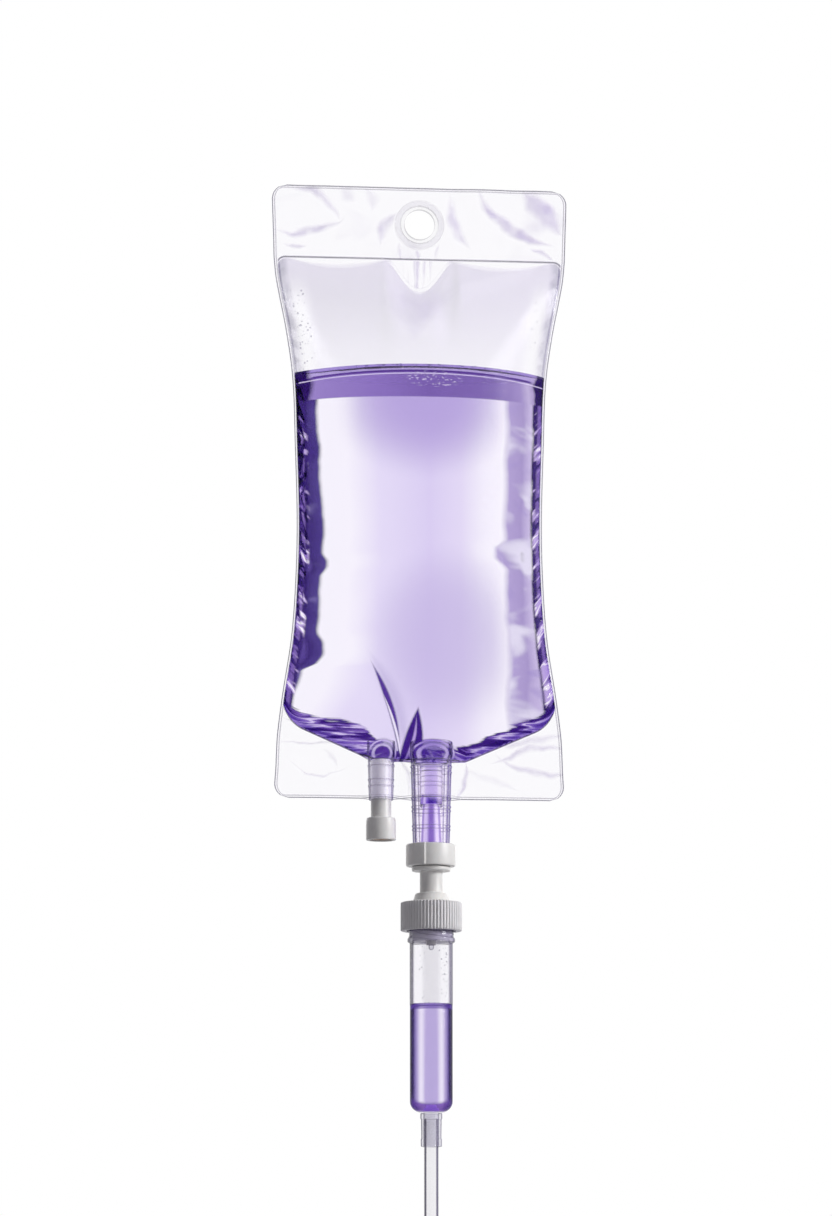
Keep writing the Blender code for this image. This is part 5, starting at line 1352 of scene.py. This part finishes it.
outlet = {
    "beads": (-217.2, -219.4, -229.6, -233.0, -234.6, -240.6, -242.0),
    "beadHeight": 0.30 * mm,
    "wall": 0.8 * mm,
    "innerBeads": (-223.5, -229.0, -236.0),
    "innerBeadHeight": 0.14 * mm,
    "innerEnd": 6.15 * mm,
    "innerWall": 1.4 * mm,
    "membraneLip": 0.55 * mm,
    "fluidNeck": 4.45 * mm,
    "deepFrom": (-227.0, -231.5),   # heights between which the port's fluid turns deep violet
    # painted highlights and shade of the port's fluid, from face on to edge on
    "paleTones": ((0.0, (204, 190, 236)), (0.10, (216, 204, 242)), (0.2, (252, 250, 255)),
                  (0.5, (232, 224, 248)), (0.8, (140, 116, 196))),
    "deepTones": ((0.0, (58, 24, 150)), (0.08, (92, 56, 186)), (0.18, (228, 214, 250)),
                  (0.50, (168, 142, 222)), (0.8, (90, 60, 160))),
    "collarBore": 4.75 * mm,
    "collarSocket": 6.45 * mm,
    "collarFloor": 4.3 * mm,
    "collarStep": -19.0,        # where the collar's recessed part begins, degrees from the front
    "collarRecess": 0.45 * mm,
}


def portFluidFinish(name):
    # pale in the upper part of the port; strong violet where the spike stands in the fluid; both with painted
    # light and shade from face on to edge on
    finish = Finish(name, IOR=1.333, Roughness=0.0, Specular_Tint=(0.1, 0.1, 0.1))
    side = finish.facing(0.5)
    depth = (finish.place("Z") * 1000).ease(*outlet["deepFrom"])
    pale, deep = (finish.ramp(side, [(place, srgb(*shade)) for place, shade in outlet[tones]])
                  for tones in ("paleTones", "deepTones"))
    finish.set(finish.shader, {"Base Color": finish.mix(depth, pale, deep), "Transmission Weight": 1.0})
    return finish.material


def makeOutletPort(white, clear):
    x = ports["outletX"]
    low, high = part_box("outlet_port_tube")
    tube = spinOutline(beadedTube(ports["outletRadii"], high.z, low.z, outlet["wall"], outlet["beads"],
                                  outlet["beadHeight"]), x)
    vinyl = clearMoulding("outletVinyl", (88, 58, 152), (236, 228, 250), (0.992, 0.986, 0.998), 0.86, 0.010,
                          rings=outlet["beads"], gloss=0.12)
    finishPiece(tube, "outletTube", "bag", vinyl, ("outlet_port_tube",))

    low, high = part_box("membrane_tube")
    outer = (high.x - low.x) / 2
    sleeve = spinOutline(beadedTube((outer, outlet["innerEnd"]), high.z, low.z, outlet["innerWall"],
                                    outlet["innerBeads"], outlet["innerBeadHeight"]), x)
    vinyl = clearMoulding("membraneVinyl", (104, 72, 176), (222, 206, 246), (0.985, 0.972, 0.998), 0.50,
                          0.012, rings=outlet["innerBeads"], gloss=0.15)
    finishPiece(sleeve, "membraneTube", "bag", vinyl, ("membrane_tube",))

    low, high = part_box("port_membrane")
    rim = (high.x - low.x) / 2
    torn = rim - outlet["membraneLip"]
    disc = spinOutline([
        (rim, high.z), (rim, low.z), (torn, low.z - 0.2 * mm, 0.1 * mm), (torn + 0.05 * mm, high.z),
    ], x, 64, 0.1 * mm)
    finishPiece(disc, "piercedMembrane", "bag", clear, ("port_membrane",))

    low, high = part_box("port_fluid")
    wide = (high.x - low.x) / 2
    neck = outlet["fluidNeck"]
    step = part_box("membrane_tube")[1].z + 0.3 * mm
    core = spinOutline([
        (0.0, high.z), (wide, high.z), (wide - 0.3 * mm, step, 0.4 * mm), (neck, step, 0.3 * mm),
        (neck, low.z), (0.0, low.z),
    ], x, 72)
    finishPiece(core, "portFluid", "bag", portFluidFinish("portFluid"), ("port_fluid",))

    low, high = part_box("port_collar")
    rim, bore, socket = (high.x - low.x) / 2, outlet["collarBore"], outlet["collarSocket"]
    floor = low.z + outlet["collarFloor"]
    collar = spinOutline([
        (rim, high.z, 0.7 * mm), (rim, low.z, 0.6 * mm), (bore, low.z), (bore, floor),
        (socket, floor), (socket, high.z, 0.3 * mm),
    ], x)
    for vertex in collar.data.vertices:
        away = Vector((vertex.co.x - x, vertex.co.y))
        angle = math.degrees(math.atan2(away.x, -away.y))
        if away.length > rim - 0.8 * mm and outlet["collarStep"] < angle < 165:
            scale = (away.length - outlet["collarRecess"]) / away.length
            vertex.co.x, vertex.co.y = x + away.x * scale, away.y * scale
    finishPiece(collar, "portCollar", "bag", white, ("port_collar",), smooth=25.0)


makeOutletPort(whiteParts, clearParts)
print("ports")

# spike

spike = {
    "shaft": 4.45 * mm,
    "bore": 1.3 * mm,
    "tip": (2.6 * mm, 3.4 * mm),         # radii where the point ends and where it begins
    "pointLength": 7.0 * mm,
    "slant": 40.0,                       # degrees at which the point is ground, and how far below its top
    "slantBelow": 3.75 * mm,
    "stopRadius": 7.6 * mm,
    "stopHeight": 1.6 * mm,
    "neckLength": 8.7 * mm,
    "shoulder": (6.1 * mm, 7.2 * mm),
    "shoulderHeight": 3.0 * mm,
    "dome": 9.85 * mm,
    "flange": 10.7 * mm,
    "flangeBelowRing": 1.3 * mm,
    "flangeHeight": 1.4 * mm,
    "former": (2.1 * mm, 1.9 * mm),
    "seat": 0.3 * mm,
    # painted light of the shaft inside the port, where violet fluid lies round it, given off while its own
    # colour is mostly darkened: face on to edge on
    "portLight": ((0.0, (112, 78, 176)), (0.03, (122, 90, 184)), (0.12, (206, 190, 236)),
                  (0.30, (216, 202, 240)), (0.45, (150, 128, 196))),
}


def makeSpike(white):
    x = portX
    low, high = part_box("spike")
    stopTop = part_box("port_collar")[0].z - spike["seat"]
    stopEnd = stopTop - spike["stopHeight"]
    shoulderTop = stopEnd - spike["neckLength"]
    shoulderEnd = shoulderTop - spike["shoulderHeight"]
    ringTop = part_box("ribbed_ring")[1].z
    flangeTop = ringTop - spike["flangeBelowRing"]
    flangeEnd = flangeTop - spike["flangeHeight"]
    shaft, bore, stop = spike["shaft"], spike["bore"], spike["stopRadius"]
    dome, flange = spike["dome"], spike["flange"]
    tip, point = spike["tip"]
    topRadius, endRadius = spike["shoulder"]
    former, formerEnd = spike["former"]
    body = spinOutline([
        (bore, high.z), (tip, high.z, 0.2 * mm), (point, high.z - spike["pointLength"], 0.6 * mm),
        (shaft, stopTop + 2 * mm), (shaft, stopTop), (stop, stopTop, 0.3 * mm), (stop, stopEnd, 0.45 * mm),
        (shaft, stopEnd, 0.5 * mm), (shaft, shoulderTop, 0.6 * mm), (topRadius, shoulderTop, 0.5 * mm),
        (endRadius, shoulderEnd, 0.3 * mm), (endRadius + 1.0 * mm, shoulderEnd - 0.05 * mm, 0.2 * mm),
        (dome, ringTop - 0.05 * mm, 0.4 * mm), (dome, flangeTop, 0.1 * mm), (flange, flangeTop),
        (flange, flangeEnd), (former, flangeEnd, 0.5 * mm), (formerEnd, low.z, 0.25 * mm), (bore, low.z),
    ], x)
    # the point is ground to a slant on one side
    middle = Vector((x, 0.0, high.z - spike["slantBelow"]))
    facing = Matrix.Rotation(math.radians(spike["slant"]), 4, "Y") @ Vector((0.0, 0.0, 1.0))
    clearSelection()
    bpy.context.view_layer.objects.active = body
    body.select_set(True)
    bpy.ops.object.mode_set(mode="EDIT")
    bpy.ops.mesh.select_all(action="SELECT")
    bpy.ops.mesh.bisect(plane_co=middle, plane_no=facing, clear_outer=True, use_fill=True)
    bpy.ops.object.mode_set(mode="OBJECT")
    return finishPiece(body, "spikeBody", "spike", white, ("spike",))


def dressNode(node, material):
    # the solid's own mesh stays, with a finish of the scene
    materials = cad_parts[node].data.materials
    materials.clear()
    materials.append(material)


# above the collar the shaft gives off painted light, with its own colour mostly darkened
makeSpike(whiteMoulding("spikeMoulding", paintedLight=spike["portLight"], paintedLightFrom=1000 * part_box("port_collar")[1].z,
                        darkUnderPaintedLight=0.9))
dressNode("chamber_gasket", rubber("gasketRubber", (0.72, 0.72, 0.76)))

# ribbed screw ring

ring = {
    "bore": 9.65 * mm,
    "cavity": 11.0 * mm,      # room for the spike's flange
    "cavityHeight": 2.0 * mm,
    "lip": 10.15 * mm,
    "lipHeight": 1.0 * mm,
    "ribs": 56,
    "ribDepth": 0.42 * mm,
    "edge": 0.45 * mm,
}


def makeScrewRing(material):
    low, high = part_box("ribbed_ring")
    outer = (high.x - low.x) / 2
    x = (high.x + low.x) / 2
    lip, cavity, bore, edge = (ring[name] for name in ("lip", "cavity", "bore", "edge"))
    lipEnd = high.z - ring["lipHeight"]
    cavityEnd = lipEnd - ring["cavityHeight"]
    rows = [(outer - edge, high.z), (outer - 0.12 * mm, high.z - 0.12 * mm), (outer, high.z - edge)]
    rows += [(outer, high.z - edge - (high.z - low.z - 2 * edge) * i / 6) for i in range(1, 6)]
    rows += [(outer, low.z + edge), (outer - 0.12 * mm, low.z + 0.12 * mm), (outer - edge, low.z)]
    rows += [(bore, low.z), (bore, cavityEnd), (cavity, cavityEnd), (cavity, lipEnd)]
    rows += [(lip, lipEnd), (lip, high.z)]
    piece = spinOutline([(radius, z, 0.0) for radius, z in rows], x, ring["ribs"] * 8)
    cutRibs(piece, x, outer - 0.2 * mm, (low.z, high.z), ring["ribs"], ring["ribDepth"], (0.55, 0.35))
    return finishPiece(piece, "screwRing", "ring", material, ("ribbed_ring",), smooth=50.0)


makeScrewRing(whiteMoulding("ringMoulding", (0.70, 0.69, 0.705), 0.45))

# drip chamber

chamber = {
    "radius": 8.45 * mm,
    "wall": 0.65 * mm,
    "corner": 5.0 * mm,
    "floor": 0.9 * mm,
    "length": 78.0 * mm,
    "neck": 8.7 * mm,
    "neckLength": 11.2 * mm,
    "neckWall": 1.3 * mm,
    "lip": 9.35 * mm,
    "lipHeight": 1.2 * mm,
    "stub": 2.8 * mm,
    "stubBore": 1.2 * mm,
    "threadTurns": 2.2,
    "threadPitch": 2.5 * mm,
    "threadHeight": 0.28 * mm,
    # painted light and shade of its fluid from face on to edge on, bright painted highlights near face on and
    # dark painted shade edge on, then the painted dark line of its surface and painted shade at its foot
    "fluidTones": (
        (0.0, (189, 175, 222)), (0.035, (192, 178, 224)), (0.08, (236, 229, 249)), (0.14, (238, 232, 250)),
        (0.20, (188, 174, 218)), (0.28, (152, 138, 192)), (0.37, (96, 80, 142)), (0.46, (28, 18, 60)),
        (0.70, (24, 14, 56)), (1.0, (40, 26, 80)),
    ),
    "fluidTop": (84, 58, 146),
    "fluidFoot": (74, 44, 132),
    # even painted light that the filter button gives off in the fluid
    "filterPaintedLight": ((0.0, (186, 176, 217)), (1.0, (186, 176, 217))),
    "sleeveTop": 4.3 * mm,
    "sleeveWaist": (4.05 * mm, 3.95 * mm),
    "sleeveEnd": (4.15 * mm, 4.1 * mm),
    "sleeveBore": 3.1 * mm,
}


def arcOutline(radius, centreR, centreZ, start, end, steps):
    points = []
    for i in range(steps + 1):
        angle = math.radians(start + (end - start) * i / steps)
        points.append((centreR + radius * math.cos(angle), centreZ + radius * math.sin(angle), 0.0))
    return points


def chamberFluidFinish(name):
    finish = Finish(name, IOR=1.12, Roughness=0.0, Specular_Tint=(0.1, 0.1, 0.1))
    side = finish.facing(0.5)
    height = finish.place("Z") * 1000
    foot, level = (1000 * corner.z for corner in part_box("chamber_fluid"))
    top = (height + side * 1.4).ease(level - 1.4, level - 1.0)
    base = (height - side * 3.5).ease(foot + 3.2, foot + 1.2)
    # painted highlights and shade by how the fluid faces, a painted dark line at the surface and painted shade
    # at the foot
    tone = finish.ramp(side, [(place, srgb(*shade)) for place, shade in chamber["fluidTones"]], "LINEAR")
    tone = finish.mix(top * 0.9, tone, srgb(*chamber["fluidTop"]))
    tone = finish.mix(base, tone, srgb(*chamber["fluidFoot"]))
    finish.set(finish.shader, {"Base Color": tone, "Transmission Weight": 1.0})
    return finish.material


def makeChamber():
    x = portX
    low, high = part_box("drip_chamber")
    outer, wall, corner = chamber["radius"], chamber["wall"], chamber["corner"]
    inner = outer - wall
    neck, lip, stub, stubBore = (chamber[name] for name in ("neck", "lip", "stub", "stubBore"))
    neckInner = neck - chamber["neckWall"]
    lipEnd = high.z - chamber["neckLength"]
    lipTop = lipEnd + chamber["lipHeight"]
    end = high.z - chamber["length"]
    floor = end + chamber["floor"]
    outline = [(neck, high.z, 0.3 * mm), (neck, lipTop + 1.0 * mm, 0.5 * mm), (lip, lipTop, 0.3 * mm),
               (lip, lipEnd, 0.3 * mm), (outer, lipEnd - 0.5 * mm, 0.3 * mm)]
    outline += arcOutline(corner, outer - corner, end + corner, 0, -90, 10)
    outline += [(stub, end, 0.2 * mm), (stub, low.z), (stubBore, low.z), (stubBore, floor, 0.3 * mm)]
    outline += arcOutline(corner - wall, inner - corner + wall, floor + corner - wall, -90, 0, 10)
    outline += [(inner, lipEnd - 0.5 * mm, 0.4 * mm), (neckInner, lipTop, 0.3 * mm), (neckInner, high.z)]
    shell = spinOutline(outline, x, 120)

    # a low thread winds round the neck below the ring
    turns, pitch = chamber["threadTurns"], chamber["threadPitch"]
    curve = bpy.data.curves.new("neckThread", "CURVE")
    curve.dimensions = "3D"
    curve.bevel_depth = chamber["threadHeight"]
    curve.bevel_resolution = 3
    curve.use_fill_caps = True
    spline = curve.splines.new("POLY")
    count = round(turns * 60)
    spline.points.add(count)
    start = lipTop + 1.2 * mm + turns * pitch
    for index, point in enumerate(spline.points):
        angle = 2 * math.pi * turns * index / count
        radius = neck - 0.05 * mm
        height = start - pitch * turns * index / count
        point.co = (x + radius * math.cos(angle), radius * math.sin(angle), height, 1.0)
    thread = bpy.data.objects.new("neckThread", curve)
    bpy.context.scene.collection.objects.link(thread)
    clearSelection()
    thread.select_set(True)
    bpy.context.view_layer.objects.active = thread
    bpy.ops.object.convert(target="MESH")
    clear = clearMoulding("chamberPlastic", (88, 82, 112), (206, 198, 226), (0.985, 0.982, 0.992), 0.88,
                          0.012, frost=(1000 * high.z, 1000 * lipEnd, 0.50), faceOnShade=0.06,
                          wetBelow=1000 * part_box("chamber_fluid")[1].z)
    finishPiece(thread, "neckThread", "chamber", clear, smooth=60.0)
    finishPiece(shell, "chamberShell", "chamber", clear, ("drip_chamber",))

    # the wall's lens effect fills it with fluid to the outer face
    low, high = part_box("chamber_fluid")
    soft = corner - wall - 0.3 * mm
    radius = outer - 0.12 * mm
    sunk = high.z - 0.35 * mm
    outline = [(0.0, sunk), (radius * 0.86, sunk, 1.5 * mm), (radius, high.z, 0.1 * mm)]
    bottom = low.z - chamber["floor"] + 0.2 * mm
    outline += arcOutline(soft, radius - soft, bottom + soft, 0, -90, 10)
    outline += [(0.0, bottom)]
    pool = spinOutline(outline, x, 120, 0.1 * mm)
    finishPiece(pool, "chamberFluid", "chamber", chamberFluidFinish("chamberFluid"),
                ("chamber_fluid",))

    low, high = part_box("chamber_filter")
    radius = (high.x - low.x) / 2
    button = spinOutline([
        (0.0, high.z), (radius * 0.62, high.z, 0.5 * mm), (radius * 0.75, high.z - 1.0 * mm, 0.3 * mm),
        (radius, high.z - 1.1 * mm, 0.3 * mm), (radius, low.z, 0.1 * mm), (0.0, low.z),
    ], x, 64)
    # the filter button gives off painted light
    finishPiece(button, "filterButton", "chamber",
                whiteMoulding("filterMoulding", paintedLight=chamber["filterPaintedLight"]), ("chamber_filter",))

    low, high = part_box("outlet_sleeve")
    top = end - 0.1 * mm
    shoulder, bore = chamber["sleeveTop"], chamber["sleeveBore"]
    waist, waistEnd = chamber["sleeveWaist"]
    cuff, cuffEnd = chamber["sleeveEnd"]
    sleeve = spinOutline([
        (shoulder, top, 0.3 * mm), (shoulder, high.z - 1.8 * mm, 0.2 * mm),
        (waist, high.z - 2.2 * mm, 0.2 * mm), (waistEnd, low.z + 3.2 * mm, 0.2 * mm),
        (cuff, low.z + 2.9 * mm, 0.2 * mm), (cuffEnd, low.z, 0.4 * mm),
        (bore, low.z, 0.2 * mm), (bore, top, 0.2 * mm),
    ], x, 72)
    vinyl = clearMoulding("sleeveVinyl", (112, 105, 138), (208, 203, 221), depth=0.78, haze=0.13)
    finishPiece(sleeve, "outletSleeve", "chamber", vinyl, ("outlet_sleeve",))


droplets = {
    "seed": 17,
    "scattered": 44,
    "columns": (-36, -30, 26, 40, 46),   # where they run down, in degrees from the front
    "onLevel": 18,
}


def makeDroplets():
    # condensation on the inside of the chamber, and the drop under the former
    dice = random.Random(droplets["seed"])
    inner = chamber["radius"] - chamber["wall"]
    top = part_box("drip_chamber")[1].z - 13 * mm
    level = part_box("chamber_fluid")[1].z

    def onWall(angle, sunk, z):
        reach = inner - sunk
        return Vector((portX + reach * math.cos(angle), reach * math.sin(angle), z))

    spots = []
    for _ in range(droplets["scattered"]):
        column = dice.choice(droplets["columns"])
        angle = math.radians(-90 + column + dice.gauss(0, 3.5))
        z = top - dice.random() * (top - level - 2 * mm)
        radius = (0.12 + 0.22 * dice.random() ** 2) * mm
        spots.append((onWall(angle, radius * 0.4, z), radius))
    for _ in range(droplets["onLevel"]):
        angle = math.radians(-90 + (dice.random() - 0.5) * 170)
        spots.append((onWall(angle, 0.3 * mm, level + 0.1 * mm), (0.12 + 0.14 * dice.random()) * mm))
    drops = scatterBeads(spots)
    finishPiece(drops, "chamberDroplets", "chamber", dropFinish("waterDrop"), smooth=80.0)
    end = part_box("spike")[0].z
    hanging = spinOutline([
        (0.0, end + 0.3 * mm), (0.9 * mm, end + 0.1 * mm, 0.2 * mm), (1.05 * mm, end - 0.5 * mm, 0.4 * mm),
        (1.0 * mm, end - 1.2 * mm, 0.5 * mm), (0.6 * mm, end - 1.8 * mm, 0.5 * mm), (0.0, end - 1.95 * mm),
    ], portX, 48)
    finishPiece(hanging, "hangingDrop", "spike", dropFinish("hangingDrop"), smooth=80.0)


makeChamber()
makeDroplets()
print("spike, ring and chamber")

# roller clamp, coil tie and end connector

clampWhite = whiteMoulding("clampMoulding", (0.79, 0.79, 0.80), 0.38)
dressNode("clamp_housing", clampWhite)
dressNode("clamp_roller", clampWhite)

tie = {"wall": 0.9 * mm, "soft": 0.8 * mm}


def makeTie(material):
    # a flat band bent round the turns, with rounded shoulders
    low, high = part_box("coil_tie")
    centre = (low + high) / 2
    clearSelection()
    bpy.ops.mesh.primitive_cube_add(size=1.0, location=centre)
    band = bpy.context.object
    band.scale = high - low
    bpy.ops.object.transform_apply(location=False, rotation=False, scale=True)
    bpy.ops.object.mode_set(mode="EDIT")
    bpy.ops.mesh.select_mode(type="FACE")
    bpy.ops.mesh.select_all(action="DESELECT")
    bpy.ops.object.mode_set(mode="OBJECT")
    for face in band.data.polygons:
        face.select = abs(face.normal.z) > 0.9
    bpy.ops.object.mode_set(mode="EDIT")
    bpy.ops.mesh.inset(thickness=tie["wall"], use_individual=True)
    bpy.ops.mesh.bridge_edge_loops()
    bpy.ops.object.mode_set(mode="OBJECT")
    edges = band.modifiers.new("softShoulders", "BEVEL")
    edges.width = tie["soft"]
    edges.segments = 4
    edges.limit_method = "ANGLE"
    bpy.ops.object.modifier_apply(modifier="softShoulders")
    return finishPiece(band, "coilTie", "chamber", material, ("coil_tie",))


connector = {
    "socket": 4.4 * mm,
    "socketBore": 3.1 * mm,
    "socketLength": 9.0 * mm,
    "flange": 4.7 * mm,
    "flangeHeight": 1.2 * mm,
    "neck": 2.9 * mm,
    "neckLength": 8.0 * mm,
    "tip": (2.1 * mm, 1.9 * mm),
    "bore": 1.1 * mm,
    "seat": 0.3 * mm,
    "lockRoof": 1.5 * mm,
    "lockWall": 1.0 * mm,
    "lockHole": 3.2 * mm,
    "lockRibs": (12, 0.30 * mm),    # how many, and how deep the grooves between them are
    "capBore": 2.4 * mm,
    "capSkirt": 3.4 * mm,
    "capRibs": (18, 0.22 * mm),
}


def makeHub(x, material):
    low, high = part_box("line_connector")
    socket, hole, flange, neck, bore = (connector[name] for name in
                                        ("socket", "socketBore", "flange", "neck", "bore"))
    tip, tipEnd = connector["tip"]
    flangeTop = high.z - connector["socketLength"]
    flangeEnd = flangeTop - connector["flangeHeight"]
    neckEnd = flangeEnd - connector["neckLength"]
    hub = spinOutline([
        (socket, high.z, 0.4 * mm), (socket - 0.15 * mm, flangeTop + 1.2 * mm, 0.3 * mm),
        (flange, flangeTop, 0.3 * mm), (flange, flangeEnd, 0.2 * mm), (neck, flangeEnd), (neck, neckEnd),
        (tip, neckEnd - 0.3 * mm), (tipEnd, low.z, 0.15 * mm), (bore, low.z), (bore, flangeTop - 0.4 * mm),
        (hole, flangeTop + 2.6 * mm), (hole, high.z),
    ], x, 72, 0.1 * mm)
    return finishPiece(hub, "lineConnector", "chamber", material, ("line_connector",))


def wallRows(outer, top, end):
    # even rows down an outer wall, so that ribs can be pressed into it
    return [(outer, top - 1 * mm - (top - end - 2 * mm) * i / 5) for i in range(6)]


def makeGrip(node, name, body, rows, x, ribs, material):
    # a turned white piece whose outer wall is ribbed
    low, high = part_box(node)
    count, depth = ribs
    piece = spinOutline([(radius, z, 0.0) for radius, z in rows], x, count * 8)
    cutRibs(piece, x, (high.x - low.x) / 2 - 0.05 * mm, (low.z + 1.2 * mm, high.z - 1.2 * mm), count, depth,
            (0.6, 0.3))
    return finishPiece(piece, name, body, material, (node,))


def makeLock(x, material):
    low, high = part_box("connector_collar")
    outer = (high.x - low.x) / 2
    roof, inner, hole = high.z - connector["lockRoof"], outer - connector["lockWall"], connector["lockHole"]
    rows = [(outer - 0.4 * mm, high.z), (outer, high.z - 0.5 * mm), *wallRows(outer, high.z, low.z)]
    rows += [(outer, low.z + 0.3 * mm), (outer - 0.3 * mm, low.z), (inner, low.z), (inner, roof)]
    rows += [(hole, roof), (hole, high.z)]
    return makeGrip("connector_collar", "lockCollar", "lock", rows, x, connector["lockRibs"], material)


def makeCap(x, material):
    low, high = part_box("connector_cap")
    outer = (high.x - low.x) / 2
    bore, skirt = connector["capBore"], connector["capSkirt"]
    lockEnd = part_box("connector_collar")[0].z - connector["seat"]
    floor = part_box("line_connector")[0].z - connector["seat"]
    rows = [(0.0, floor), (bore, floor), (bore, high.z), (skirt, high.z), (skirt, lockEnd)]
    rows += [(outer - 0.4 * mm, lockEnd), (outer, lockEnd - 0.4 * mm), *wallRows(outer, lockEnd, low.z)]
    rows += [(outer, low.z + 0.5 * mm), (outer - 0.5 * mm, low.z), (0.0, low.z)]
    return makeGrip("connector_cap", "connectorCap", "cap", rows, x, connector["capRibs"], material)


coilTie = makeTie(clampWhite)
low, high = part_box("line_connector")
endX = (low.x + high.x) / 2
connectorPieces = [makeHub(endX, clearParts), makeLock(endX, clampWhite), makeCap(endX, clampWhite)]
